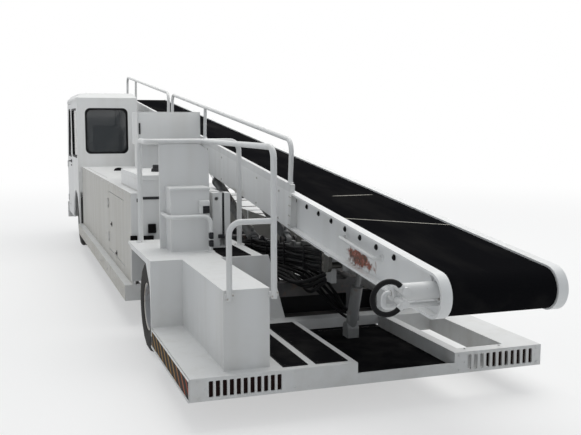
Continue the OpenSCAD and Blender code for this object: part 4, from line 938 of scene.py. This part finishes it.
class LOADER_OT_fit_body_hardware(bpy.types.Operator):
    """Fit the housing's lid pull, painted-shade slots, near-black lamps that also shade the grille's slots,
    latches, filler cap and screws
    """

    bl_idname = "loader.fit_body_hardware"
    bl_label = "Fit the Body Hardware"

    def execute(self, context):
        dark, lamps, plates, screws = Shape(), Shape(), Shape(), Shape()
        # The lens-shaped pull that stands on the lid, and the long slots of the rear box, drawn as dark
        # strips of painted shade
        pull = Shape()
        pull.rod((-0.70, 5.795, 1.093), (-0.70, 5.815, 1.093), 0.060, sides=48, bevel=0.004)
        bmesh.ops.scale(pull.mesh, vec=(1.0, 1.0, 0.62), space=Matrix.Translation(-machine(0, 0, 1.093)),
                        verts=pull.mesh.verts)
        bmesh.ops.bisect_plane(pull.mesh, geom=[*pull.mesh.verts, *pull.mesh.edges, *pull.mesh.faces],
                               plane_co=machine(0, 0, 1.0931), plane_no=UP, clear_inner=True)
        bmesh.ops.holes_fill(pull.mesh, edges=pull.mesh.edges)
        pull.piece("lid_pull", "rubber_black", "lid")
        # Dark strips that stand in for the shade inside the rear box's long slots.
        dark.blocks((((-0.960, 2.4485, 1.040), (-0.800, 2.4545, 1.062)),
                     ((-0.992, 2.4485, 1.020), (-0.984, 2.4545, 1.050))), 0.0025)
        dark.rod((-0.74, 3.0, 1.233), (-0.74, 3.0, 1.262), 0.040, 0.036, sides=32, bevel=0.004)
        dark.rod((-0.74, 3.0, 1.262), (-0.74, 3.0, 1.292), 0.026, sides=12, bevel=0.003)
        # Rear lamps and blocks behind the grille, near-black: partly real lamps, partly painted shade that
        # keeps the grille's slots dark.
        lamps.blocks((
            ((-1.050, 2.430, 0.712), (-0.994, 2.455, 0.752)),
            ((-0.956, 2.430, 0.706), (-0.862, 2.455, 0.748)),
            ((-0.906, 2.425, 0.768), (-0.842, 2.455, 0.842)),
        ), 0.006)
        # A seam and a raised rim round the rear box's lid, and hooks for the housing's end panel
        plates.block((-0.964, 2.450, 1.196), (-0.416, 3.604, 1.202), 0.002)
        for x in (-0.90, -0.50):
            plates.block((x - 0.03, 2.447, 0.55), (x + 0.03, 2.455, 0.61), 0.003)
        for z in (0.44, 0.62, 0.82, 1.0):
            for x in (-1.018, -0.36):
                screws.bolt((x, 2.4542, z), BACK, 0.008)
        for k in range(16):
            for z in (0.372, 1.070):
                screws.bolt((-1.0382, 2.52 + 0.285 * k, z), LEFT, 0.008)
        for k in range(9):
            for x, out in ((-1.1002, LEFT), (1.1002, RIGHT)):
                screws.bolt((x, 2.62 + 0.52 * k, 0.285), out, 0.011)
        # Locker: its door, a latch and a hinge rod
        plates.block((-0.770, 3.714, 1.462), (-0.190, 3.721, 1.749), 0.003)
        dark.block((-0.772, 3.702, 1.548), (-0.757, 3.716, 1.655), 0.004)
        plates.rod((-0.765, 3.710, 1.655), (-0.765, 3.710, 1.752), 0.004, sides=10)
        dark.piece("black_fittings_and_slot_shade", "rubber_black", finish="dash_plastic")
        lamps.piece("housing_lamps_and_slot_shade", "lamp_red", finish="lamp_dark")
        plates.piece("body_plates", "white_paint")
        screws.piece("body_screws", "white_paint")
        # The engine door's two turn latches
        latch = Shape()
        for y, z in ((3.422, 0.467), (3.752, 0.698)):
            latch.rod((-1.038, y, z), (-1.043, y, z), 0.024, sides=28, bevel=0.001)
            latch.block((-1.052, y - 0.02, z - 0.007), (-1.042, y + 0.02, z + 0.007), 0.003)
        latch.piece("side_door_latches", "chassis_black", "side_door")
        return {"FINISHED"}


class LOADER_OT_fit_station(bpy.types.Operator):
    """Fit the control station: switch box, channel lips, sockets and rail feet"""

    bl_idname = "loader.fit_station"
    bl_label = "Fit the Control Station"

    def execute(self, context):
        trim, dark, screws = Shape(), Shape(), Shape()
        # The console's folded lid
        trim.block((-0.897, 1.511, 1.180), (-0.611, 1.721, 1.199), 0.004)
        # The switch box: its pale hood over a dark face, with a row of switches
        trim.block((-0.697, 1.466, 1.072), (-0.6235, 1.519, 1.108), 0.004)
        trim.block((-0.697, 1.470, 1.015), (-0.674, 1.519, 1.074), 0.003)
        dark.block((-0.673, 1.4715, 1.018), (-0.6265, 1.4755, 1.070), 0.002)
        for k, x in enumerate((-0.664, -0.650, -0.636)):
            dark.rod((x, 1.472, 1.048), (x, 1.467, 1.048), 0.0055, sides=18, bevel=0.001)
            dark.pipe(((x, 1.472, 1.030), (x, 1.461, 1.033 - 0.006 * (k % 2))), 0.0025, sides=8)
        # The channel's slot: pale lips on both sides of a black brush strip, over a black stop
        trim.block((-0.5205, 1.600, 0.836), (-0.503, 1.6055, 1.1495), 0.001)
        trim.block((-0.486, 1.600, 0.836), (-0.4775, 1.6055, 1.1495), 0.001)
        dark.block((-0.504, 1.6055, 0.836), (-0.485, 1.612, 1.1495), 0.001)
        dark.block((-0.535, 1.585, 0.820), (-0.490, 1.6015, 0.849), 0.004)
        # Two black sockets clamped on the hoop's leg
        for z in (0.785, 0.840):
            dark.block((-0.638, 1.424, z), (-0.609, 1.466, z + 0.047), 0.006)
            middle = z + 0.0235
            dark.rod((-0.6235, 1.4245, middle), (-0.6235, 1.412, middle), 0.011, sides=20, bevel=0.002)
        # Foot plates of the near hoop and base flanges of the long rail
        for x in (-0.857, -0.604):
            for z in (0.705, 0.725):
                screws.bolt((x - 0.015 + 0.03 * (z > 0.71), 0.0440, z), BACK, 0.006)
        for x, y in ((-1.015, 2.110), (-0.339, 1.730)):
            trim.turned(((0.0192, 0.747), (0.040, 0.747), (0.040, 0.752), (0.024, 0.754), (0.0192, 0.762)),
                        Matrix.Translation((x, y, 0)), 28)
            for dx, dy in ring(3, 0.031, math.tau / 12):
                screws.bolt((x + dx, y + dy, 0.752), UP, 0.006)
        trim.turned(((0.0142, 0.747), (0.030, 0.747), (0.030, 0.751), (0.0142, 0.758)),
                    Matrix.Translation((-0.624, 1.450, 0)), 24)
        trim.piece("station_trim", "white_paint")
        dark.piece("station_switches", "rubber_black", finish="dash_plastic")
        screws.piece("station_screws", "bare_steel", finish="zinc_bolt")
        return {"FINISHED"}


class LOADER_OT_fit_platform(bpy.types.Operator):
    """Fit the platform's mat edges, screws and weld beads, the hazard sheet's rim and a black sheet of
    painted shade in the fender's gap
    """

    bl_idname = "loader.fit_platform"
    bl_label = "Fit the Platform"

    def execute(self, context):
        rims, screws, beads, gap_shade_sheet = Shape(), Shape(), Shape(), Shape()
        for x0, x1, y0, y1, z in (
            (-0.556, -0.4078, 0.050, 1.020, 0.298), (-0.361, -0.166, 0.050, 1.020, 0.298),
            (-0.114, 0.490, 0.022, 1.050, 0.210),
        ):
            for low, high in (((x0, y0), (x0 + 0.005, y1)), ((x1 - 0.005, y0), (x1, y1)),
                              ((x0, y0), (x1, y0 + 0.005)), ((x0, y1 - 0.005), (x1, y1))):
                rims.block((*low, z), (*high, z + 0.0055), 0.001)
            for x in (x0 + 0.02, x1 - 0.02):
                for k in range(5):
                    y = y0 + 0.03 + (y1 - y0 - 0.06) * k / 4
                    rims.rod((x, y, z + 0.004), (x, y, z + 0.0065), 0.006, 0.004, sides=12)
        # A black sheet over the gap between the left fender and its strip, round the channel's foot: painted
        # shade that darkens the opening
        for x0, x1, y0, y1 in ((-0.599, -0.402, 1.200, 1.598), (-0.599, -0.402, 1.702, 2.178),
                               (-0.599, -0.576, 1.598, 1.702), (-0.441, -0.402, 1.598, 1.702)):
            gap_shade_sheet.block((x0, y0, 0.747), (x1, y1, 0.7515), 0.001)
        # The hazard sheet's pale rim along its edges
        for x, y0, y1, z0, z1 in (
            (-1.1050, 0.002, 1.176, 0.1685, 0.1825), (-1.1030, 0.002, 1.176, 0.2840, 0.2905),
            (-1.1002, 0.004, 0.008, 0.176, 0.2905), (-1.1002, 1.170, 1.174, 0.176, 0.2905),
        ):
            beads.block((x, y0, z0), (-1.0945, y1, z1), 0.0008)
        # Weld beads where the step box meets the platform and the plates meet each other
        for x0, y0, x1, y1, z in (
            (-0.887, 0.082, -0.887, 1.178, 0.298), (-0.887, 0.082, -0.623, 0.082, 0.298),
            (-0.623, 0.082, -0.623, 1.178, 0.298), (-1.094, 1.178, -0.887, 1.178, 0.298),
            (-0.893, 1.520, -0.615, 1.520, 0.747), (-0.893, 1.520, -0.893, 1.720, 0.747),
            (-0.574, 1.600, -0.443, 1.600, 0.747),
        ):
            beads.pipe(((x0, y0, z), (x1, y1, z)), 0.004, sides=6)
        for x in (-1.05, -0.50, 0.53, 1.07):
            for z in (0.19, 0.28):
                screws.bolt((x, 0.0, z), BACK, 0.009)
        for x, z in ((-1.010, 0.235), (-0.561, 0.235), (0.567, 0.235), (1.059, 0.235)):
            screws.rod((x, 0.001, z), (x, -0.003, z), 0.006, 0.004, sides=14)
        for x in (0.60, 0.84):
            for y in (0.060, 1.02):
                screws.bolt((x, y, 0.298), UP, 0.010)
        rims.piece("mat_edges", "mat_black", finish="rubber_black")
        screws.piece("platform_screws", "white_paint")
        # The gap sheet's black is painted shade.
        gap_shade_sheet.piece("fender_gap_shade_sheet", "mat_black")
        beads.piece("platform_welds", "white_paint")
        return {"FINISHED"}


class LOADER_OT_fit_cab_outside(bpy.types.Operator):
    """Fit the cab's door handle, gutters, wiper and roof strips"""

    bl_idname = "loader.fit_cab_outside"
    bl_label = "Fit the Cab's Outside"

    def execute(self, context):
        trim, dark, arms = Shape(), Shape(), Shape()
        trim.pipe(((-1.0885, 6.98, 1.955), (-1.0945, 7.20, 1.962), (-1.0945, 8.30, 1.962),
                   (-1.0885, 8.42, 1.950)), 0.006, 0.02, 8)
        for x in (-0.95, -0.70, -0.44):
            trim.block((x - 0.012, 7.00, 2.0455), (x + 0.012, 8.36, 2.0520), 0.003)
        for z in (0.90, 1.02):
            trim.block((-1.080, 6.8695, z), (-0.315, 6.8735, z + 0.012), 0.0015)
        trim.piece("cab_trim", "white_paint")
        # The wiper and its motor cap
        dark.rod((-0.70, 8.715, 1.095), (-0.70, 8.735, 1.105), 0.020, 0.016, sides=20, bevel=0.003)
        arms.pipe(((-0.70, 8.735, 1.105), (-0.70, 8.748, 1.130), (-0.60, 8.700, 1.330),
                   (-0.58, 8.655, 1.452)), 0.006, 0.03, 8)
        dark.block((-0.72, 8.630, 1.446), (-0.44, 8.645, 1.456), 0.003)
        dark.piece("cab_black_trim", "rubber_black", finish="dash_plastic")
        arms.piece("wiper_arm", "chassis_black")

        handle = Shape()
        handle.block((-1.093, 7.905, 1.105), (-1.0865, 8.045, 1.150), 0.004)
        handle.pipe(((-1.090, 7.915, 1.127), (-1.118, 7.925, 1.127), (-1.118, 8.020, 1.127),
                     (-1.090, 8.032, 1.127)), 0.008, 0.02, 10)
        handle.rod((-1.087, 7.960, 1.070), (-1.096, 7.960, 1.070), 0.012, sides=20, bevel=0.002)
        handle.piece("cab_door_handle", "chassis_black", "door")
        return {"FINISHED"}


class LOADER_OT_fit_cab_inside(bpy.types.Operator):
    """Fit the driver's place: dials, levers, pedals, switch stalk, mat and belt"""

    bl_idname = "loader.fit_cab_inside"
    bl_label = "Fit the Cab's Inside"

    def execute(self, context):
        dark, steel = Shape(), Shape()
        hood = Matrix.Rotation(math.radians(-24), 4, "X")
        dark.block((-0.90, 8.345, 1.075), (-0.48, 8.42, 1.185), 0.012, 3, hood)
        for x in (-0.82, -0.69, -0.56):
            axes = Matrix.Translation((x, 8.350, 1.125)) @ Matrix.Rotation(math.radians(66), 4, "X")
            dark.turned(((0.0, 0.0), (0.050, 0.0), (0.053, 0.008), (0.047, 0.010), (0.045, 0.004)), axes, 36)
            dial = Shape()
            dial.turned(((0.0, 0.0045), (0.0455, 0.0045), (0.0455, 0.002)), axes, 36)
            face = dial.piece(f"dial_{int(-x * 100)}", "dash_plastic", finish="dial_face")
            round_map(face.data, MACHINE @ axes, lambda p: p.xy.length / 0.047)
        for k in range(6):
            dark.block((-1.0 + 0.05 * k, 8.334, 1.00), (-0.97 + 0.05 * k, 8.341, 1.03), 0.003)
        for x, top in ((-0.43, 1.02), (-0.39, 0.98)):
            steel.pipe(((x, 7.80, 0.41), (x + 0.01, 7.76, 0.80), (x, 7.72, top)), 0.008, 0.05, 10)
            dark.rod((x, 7.72, top), (x, 7.712, top + 0.06), 0.020, 0.015, sides=20, bevel=0.005)
            dark.rod((x, 7.80, 0.392), (x, 7.79, 0.45), 0.040, 0.014, sides=20)
        for x in (-0.80, -0.58):
            steel.pipe(((x, 8.36, 0.72), (x, 8.25, 0.56), (x, 8.20, 0.50)), 0.009, 0.04, 10)
            dark.block((x - 0.035, 8.165, 0.475), (x + 0.035, 8.185, 0.545), 0.004, 2,
                       Matrix.Rotation(math.radians(30), 4, "X"))
        dark.block((-1.03, 7.84, 0.3905), (-0.36, 8.32, 0.3965), 0.002)
        steel.pipe(((-0.72, 8.19, 1.16), (-0.80, 8.15, 1.18), (-0.86, 8.10, 1.21)), 0.005, 0.02, 8)
        dark.rod((-0.86, 8.10, 1.21), (-0.875, 8.092, 1.217), 0.010, sides=14, bevel=0.002)
        # Seat belt: a webbing strap in two flat runs with its buckle
        dark.blocks((((-0.935, 7.02, 0.82), (-0.930, 7.06, 1.55)),
                     ((-0.445, 7.34, 0.82), (-0.440, 7.38, 1.10))), 0.0012)
        steel.block((-0.452, 7.335, 1.08), (-0.433, 7.385, 1.15), 0.004)
        dark.piece("cab_controls", "dash_plastic")
        steel.piece("cab_levers", "bare_steel", finish="zinc_bolt")
        return {"FINISHED"}


class LOADER_OT_pad_seat(bpy.types.Operator):
    """Upholster the seat: a puffed cushion and back with sewn channels"""

    bl_idname = "loader.pad_seat"
    bl_label = "Upholster the Seat"

    def execute(self, context):
        seat = context.scene.loader_seat
        for name, low, high in (
            ("seat_cushion", (-0.892, 7.068, 1.026), (-0.488, 7.512, 1.122)),
            ("seat_backrest", (-0.892, 6.970, 1.068), (-0.488, 7.052, 1.642)),
        ):
            shape = Shape()
            shape.block(low, high, 0.022, 3)
            pad = shape.piece(name, "seat_vinyl", smooth=60.0)
            puff(pad, seat.voxel, seat.puff)
            stitch(pad, low, high, seat.channels)
            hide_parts("seat_pads")
        return {"FINISHED"}


# How long and how strongly the pads are blown up
PUFF_FRAMES = 20
PUFF_PRESSURE = 4.0
# How deep and how wide each sewn channel is
STITCH_DEPTH = 0.010
STITCH_WIDTH = 0.009


def puff(pad, voxel, most):
    """Remeshes the pad and swells it under pressure, moving no point further than most."""
    remesh = pad.modifiers.new("remesh", "REMESH")
    remesh.mode = "VOXEL"
    remesh.voxel_size = voxel
    bake_modifiers(pad)
    start = [corner.co.copy() for corner in pad.data.vertices]
    cloth = pad.modifiers.new("cloth", "CLOTH")
    cloth.settings.use_pressure = True
    cloth.settings.uniform_pressure_force = PUFF_PRESSURE
    cloth.settings.effector_weights.gravity = 0.0
    cloth.point_cache.frame_start = 1
    cloth.point_cache.frame_end = PUFF_FRAMES
    for frame in range(1, PUFF_FRAMES + 1):
        bpy.context.scene.frame_set(frame)
    bake_modifiers(pad)
    bpy.context.scene.frame_set(1)
    for corner, place in zip(pad.data.vertices, start):
        moved = corner.co - place
        if moved.length > most:
            corner.co = place + moved.normalized() * most


def bake_modifiers(piece):
    """Applies a piece's modifiers to its mesh."""
    ready = piece.evaluated_get(bpy.context.evaluated_depsgraph_get())
    mesh = bpy.data.meshes.new_from_object(ready)
    piece.modifiers.clear()
    old = piece.data
    piece.data = mesh
    bpy.data.meshes.remove(old)
    mesh.shade_smooth()


def stitch(pad, low, high, channels):
    """Presses sewn channels into a pad's top, or into its front where it stands upright."""
    low, high = machine(*low), machine(*high)
    middle = (low + high) / 2
    width = high.x - low.x
    for corner in pad.data.vertices:
        place = corner.co
        across = (place.x - low.x) / width
        nearest = min(abs(across - (k + 1) / (channels + 1)) for k in range(channels)) * width
        dip = STITCH_DEPTH * math.exp(-((nearest / STITCH_WIDTH) ** 2))
        if high.z - low.z > high.y - low.y:
            place.y -= dip * (place.y > middle.y)
        else:
            place.z -= dip * (place.z > middle.z)


class LOADER_OT_fit_front(bpy.types.Operator):
    """Fit the front end: lamp rings, indicators, bumper bolts and the tow pin"""

    bl_idname = "loader.fit_front"
    bl_label = "Fit the Front End"

    def execute(self, context):
        rings, screws, amber = Shape(), Shape(), Shape()
        for x in (-0.88, 0.88):
            axes = Matrix.Translation((x, 8.790, 0.365)) @ Matrix.Rotation(-math.pi / 2, 4, "X")
            rings.turned(((0.0785, -0.006), (0.0805, 0.0), (0.092, 0.0), (0.095, 0.004), (0.088, 0.009),
                          (0.080, 0.008), (0.0785, -0.006)), axes, 48)
            for dx, dz in ring(3, 0.087, 0.5):
                screws.rod((x + dx, 8.797, 0.365 + dz), (x + dx, 8.801, 0.365 + dz), 0.004, sides=12)
            for dx in (-0.155, 0.155):
                if abs(x + dx) < 1.06:
                    amber.block((x + dx - 0.032, 8.789, 0.335), (x + dx + 0.032, 8.806, 0.395), 0.008, 3)
        for x in (-0.60, -0.20, 0.20, 0.60):
            for z in (0.285, 0.445):
                screws.bolt((x, 8.790, z), AHEAD, 0.013)
        screws.rod((0, 8.840, 0.285), (0, 8.840, 0.420), 0.0135, sides=24, bevel=0.002)
        screws.pipe(((0.0, 8.840, 0.418), (0.0, 8.840, 0.440), (0.035, 8.840, 0.440),
                     (0.035, 8.840, 0.412)), 0.005, 0.015, 10)
        rings.piece("headlamp_rings", "rod_chrome")
        screws.piece("front_screws", "bare_steel", finish="zinc_bolt")
        amber.piece("front_indicators", "lamp_clear", finish="lamp_amber")
        return {"FINISHED"}


class LOADER_OT_fit_underside(bpy.types.Operator):
    """Fit the springs' clamps, brake pipes, frame bolts, tank straps and caps"""

    bl_idname = "loader.fit_underside"
    bl_label = "Fit the Underside"

    def execute(self, context):
        clamps, pipes, straps = Shape(), Shape(), Shape()
        for y in (1.700, 7.320):
            for side in (-1, 1):
                x = side * 0.346
                for dy in (-0.052, 0.052):
                    hoop = ((-0.038, 0.275), (-0.038, 0.409), (0.038, 0.409), (0.038, 0.275))
                    clamps.pipe([(x + dx, y + dy, z) for dx, z in hoop], 0.006, 0.012, 8)
                clamps.block((x - 0.05, y - 0.075, 0.400), (x + 0.05, y + 0.075, 0.411), 0.002)
            pipes.pipe(((-0.76, y - 0.048, 0.36), (-0.30, y - 0.050, 0.385), (0.0, y - 0.050, 0.40),
                        (0.30, y - 0.050, 0.385), (0.76, y - 0.048, 0.36)), 0.004, sides=8, loose=True)
        for x in (-0.352, 0.352):
            for y in (1.40, 2.30, 3.20, 4.40, 5.40, 6.40, 7.90):
                clamps.bolt((x, y, 0.430), DOWN, 0.012)
        for y0, y1 in ((2.454, 4.5), (4.56, 6.848)):
            for k in range(3):
                y = y0 + (y1 - y0) * (k + 0.5) / 3
                straps.block((0.528, y - 0.022, 0.700), (1.040, y + 0.022, 0.704), 0.001)
                straps.block((1.0375, y - 0.022, 0.430), (1.0415, y + 0.022, 0.704), 0.001)
                clamps.bolt((1.0415, y, 0.47), RIGHT, 0.010)
            straps.turned(((0.034, 0.700), (0.034, 0.716), (0.042, 0.718), (0.042, 0.738),
                           (0.036, 0.744), (0.0, 0.745)),
                          Matrix.Translation((0.90, (y0 + y1) / 2 + 0.35, 0)), 32)
        clamps.piece("spring_clamps", "chassis_black")
        pipes.piece("brake_pipes", "bare_steel", finish="zinc_bolt")
        straps.piece("tank_straps", "chassis_black")
        return {"FINISHED"}


def studio_floor_paint():
    """A white floor that keeps the machine's shadow, lifted to white where the camera sees it."""
    paint = Paint("studio_floor")
    seen = paint.node("ShaderNodeLightPath", {}, {}, "Is Camera Ray")
    seen = paint.node("ShaderNodeMath", {"operation": "MAXIMUM"}, {
        0: seen, 1: paint.node("ShaderNodeLightPath", {}, {}, "Is Glossy Ray"),
    })
    glow = paint.node("ShaderNodeEmission", {}, {"Color": (1.0, 1.0, 1.0, 1.0), "Strength": 1.0})
    paint.finish(Base_Color=(0.80, 0.80, 0.80), Roughness=0.9)
    lit = Value(paint, paint.shader.outputs[0])
    reach = paint.node("ShaderNodeVectorMath", {"operation": "LENGTH"}, {0: paint.here}, "Value")
    near = 1.0 - reach.band(3.0, 17.0)
    lift = 1.0 - near * near * 0.55
    both = paint.node("ShaderNodeMixShader", {}, {0: seen * lift, 1: lit, 2: glow})
    paint.tree.links.new(both.socket, paint.tree.nodes["Material Output"].inputs["Surface"])
    return paint.material


class LOADER_OT_set_studio(bpy.types.Operator):
    """Lay the floor, hang the lamps and stand the camera at the photograph's angle"""

    bl_idname = "loader.set_studio"
    bl_label = "Set the Studio"

    def execute(self, context):
        studio = context.scene.loader_studio
        context.scene.view_settings.view_transform = "Standard"
        self.lay_floor(context.scene)
        self.light_sky(context.scene, studio.sky)
        self.hang_lamps(context.scene, studio.lamp)
        self.stand_camera(context.scene, studio)
        return {"FINISHED"}

    def lay_floor(self, scene):
        """Lays one wide white square at ground level."""
        shape = bmesh.new()
        bmesh.ops.create_grid(shape, x_segments=1, y_segments=1, size=FLOOR_REACH)
        ground = bpy.data.meshes.new("studio_floor")
        shape.to_mesh(ground)
        shape.free()
        floor = bpy.data.objects.new("studio_floor", ground)
        scene.collection.objects.link(floor)
        floor.data.materials.append(studio_floor_paint())

    def light_sky(self, scene, strength):
        """Makes a sky that lights evenly and looks white to the camera, in mirrors and through glass."""
        world = bpy.data.worlds.new("studio_sky")
        scene.world = world
        world.use_nodes = True
        tree = world.node_tree
        tree.nodes.clear()
        rays = tree.nodes.new("ShaderNodeLightPath")
        either = rays.outputs["Is Camera Ray"]
        for kind in ("Is Glossy Ray", "Is Transmission Ray"):
            top = tree.nodes.new("ShaderNodeMath")
            top.operation = "MAXIMUM"
            tree.links.new(either, top.inputs[0])
            tree.links.new(rays.outputs[kind], top.inputs[1])
            either = top.outputs[0]
        choose = tree.nodes.new("ShaderNodeMixShader")
        tree.links.new(either, choose.inputs[0])
        for slot, colour, power in (
            (1, (0.90, 0.95, 1.0, 1.0), strength),
            (2, (1.0, 1.0, 1.0, 1.0), 1.0),
        ):
            light = tree.nodes.new("ShaderNodeBackground")
            light.inputs["Color"].default_value = colour
            light.inputs["Strength"].default_value = power
            tree.links.new(light.outputs[0], choose.inputs[slot])
        out = tree.nodes.new("ShaderNodeOutputWorld")
        tree.links.new(choose.outputs[0], out.inputs[0])

    def hang_lamps(self, scene, strength):
        """Hangs a wide lamp over the machine and a weak one behind it."""
        # Each lamp: name, place, tilt in degrees, size, power
        for name, place, tilt, size, power in (
            ("lamp_over", (1.5, 0.5, 8.5), (0.0, 10.0, 0.0), 11.0, strength),
            ("lamp_rear", (-4.5, -12.0, 6.5), (58.0, 0.0, -20.0), 7.0, strength * 0.06),
        ):
            data = bpy.data.lights.new(name, "AREA")
            data.shape = "SQUARE"
            data.size = size
            data.energy = power
            data.color = (1.0, 0.985, 0.95)
            lamp = bpy.data.objects.new(name, data)
            lamp.location = place
            lamp.rotation_euler = [math.radians(angle) for angle in tilt]
            scene.collection.objects.link(lamp)

    def stand_camera(self, scene, studio):
        """Stands the camera where the photograph was taken from."""
        data = bpy.data.cameras.new("photo_camera")
        data.lens = studio.lens
        data.sensor_width = SENSOR
        data.sensor_fit = "HORIZONTAL"
        data.clip_end = SEE_FAR
        camera = bpy.data.objects.new("photo_camera", data)
        camera.location = studio.camera_place
        camera.rotation_euler = studio.camera_turn
        scene.collection.objects.link(camera)
        scene.camera = camera


class LOADER_PT_panel(bpy.types.Panel):
    """Lists the steps and their settings"""

    bl_label = "Belt Loader"
    bl_idname = "LOADER_PT_panel"
    bl_space_type = "VIEW_3D"
    bl_region_type = "UI"
    bl_category = "Belt Loader"

    def draw(self, context):
        for step in STEPS:
            self.layout.operator(step.bl_idname)
        for group in GROUPS:
            settings = getattr(context.scene, group)
            for name in settings.bl_rna.properties.keys():
                if name not in ("rna_type", "name"):
                    self.layout.prop(settings, name)


# Settings


class LoaderLook(bpy.types.PropertyGroup):
    """Colours and wear of the whole machine."""

    white: bpy.props.FloatVectorProperty(
        name="White paint", description="Main body colour", default=(0.71, 0.715, 0.715), subtype="COLOR",
        min=0.0, max=1.0, size=3,
    )
    # Dirt also scales the painted shade on the housing's left side.
    dirt: bpy.props.FloatProperty(
        name="Dirt", description="How much dust and grime lies on the paint", default=0.6, min=0.0, max=1.0,
        subtype="FACTOR",
    )
    rust: bpy.props.FloatProperty(
        name="Rust", description="How much the chips in the paint have rusted", default=0.7,
        min=0.0, max=1.0, subtype="FACTOR",
    )


class WheelSizes(bpy.types.PropertyGroup):
    """Small sizes of the wheels."""

    lug: bpy.props.FloatProperty(
        name="Shoulder lugs", description="Depth of the lugs on the tyres' shoulders", default=0.007,
        min=0.0, max=0.02, subtype="DISTANCE",
    )
    nuts: bpy.props.IntProperty(
        name="Wheel nuts", description="Number of nuts on each rim", default=6, min=3, max=10,
    )


class HoseSizes(bpy.types.PropertyGroup):
    """The hose runs on the frame."""

    count: bpy.props.IntProperty(
        name="Hoses", description="Number of hoses side by side between the rails", default=8, min=1, max=8,
    )
    radius: bpy.props.FloatProperty(
        name="Hose radius", description="Outer radius of the thicker hoses", default=0.0125, min=0.005,
        max=0.02, subtype="DISTANCE",
    )


class SeatSizes(bpy.types.PropertyGroup):
    """How the seat is padded."""

    voxel: bpy.props.FloatProperty(
        name="Voxel", description="Size of the cushion mesh's cells", default=0.008, min=0.004, max=0.02,
        subtype="DISTANCE",
    )
    puff: bpy.props.FloatProperty(
        name="Puff", description="The furthest that the cover may swell", default=0.014, min=0.0, max=0.03,
        subtype="DISTANCE",
    )
    channels: bpy.props.IntProperty(
        name="Channels", description="Number of sewn channels across each pad", default=4, min=1, max=8,
    )


class StudioLook(bpy.types.PropertyGroup):
    """The floor, the light and the camera."""

    sky: bpy.props.FloatProperty(
        name="Sky", description="Strength of the even light from all round", default=0.47, min=0.0, max=3.0,
    )
    lamp: bpy.props.FloatProperty(
        name="Overhead lamp", description="Power of the wide lamp above the machine", default=760.0, min=0.0,
        max=5000.0, unit="POWER",
    )
    lens: bpy.props.FloatProperty(
        name="Lens", description="Focal length of the camera", default=51.14, min=20.0, max=200.0,
        subtype="DISTANCE_CAMERA",
    )
    camera_place: bpy.props.FloatVectorProperty(
        name="Camera place", description="Where the camera stands", default=(-1.971, -8.3494, 1.641), size=3,
        subtype="TRANSLATION",
    )
    camera_turn: bpy.props.FloatVectorProperty(
        name="Camera turn", description="The camera's rotation",
        default=(math.radians(83.57), 0.0, math.radians(-18.99)), size=3, subtype="EULER",
    )


GROUPS = {
    "loader_look": LoaderLook,
    "loader_wheels": WheelSizes,
    "loader_hoses": HoseSizes,
    "loader_seat": SeatSizes,
    "loader_studio": StudioLook,
}
STEPS = (
    LOADER_OT_paint_frame, LOADER_OT_set_studio, LOADER_OT_fit_tyres, LOADER_OT_fit_wheel_nuts,
    LOADER_OT_fit_boom_fittings, LOADER_OT_hang_flap, LOADER_OT_route_hoses, LOADER_OT_fit_cylinders,
    LOADER_OT_fit_body_hardware, LOADER_OT_fit_station, LOADER_OT_fit_platform,
    LOADER_OT_fit_cab_outside, LOADER_OT_fit_cab_inside, LOADER_OT_pad_seat, LOADER_OT_fit_front,
    LOADER_OT_fit_underside,
)
CLASSES = (*GROUPS.values(), *STEPS, LOADER_PT_panel)


def register():
    for kind in CLASSES:
        bpy.utils.register_class(kind)
    for group, kind in GROUPS.items():
        setattr(bpy.types.Scene, group, bpy.props.PointerProperty(type=kind))


def unregister():
    for group in GROUPS:
        delattr(bpy.types.Scene, group)
    for kind in reversed(CLASSES):
        bpy.utils.unregister_class(kind)


def main():
    register()
    for step in STEPS:
        group, name = step.bl_idname.split(".")
        getattr(getattr(bpy.ops, group), name)()


if __name__ == "__main__":
    main()
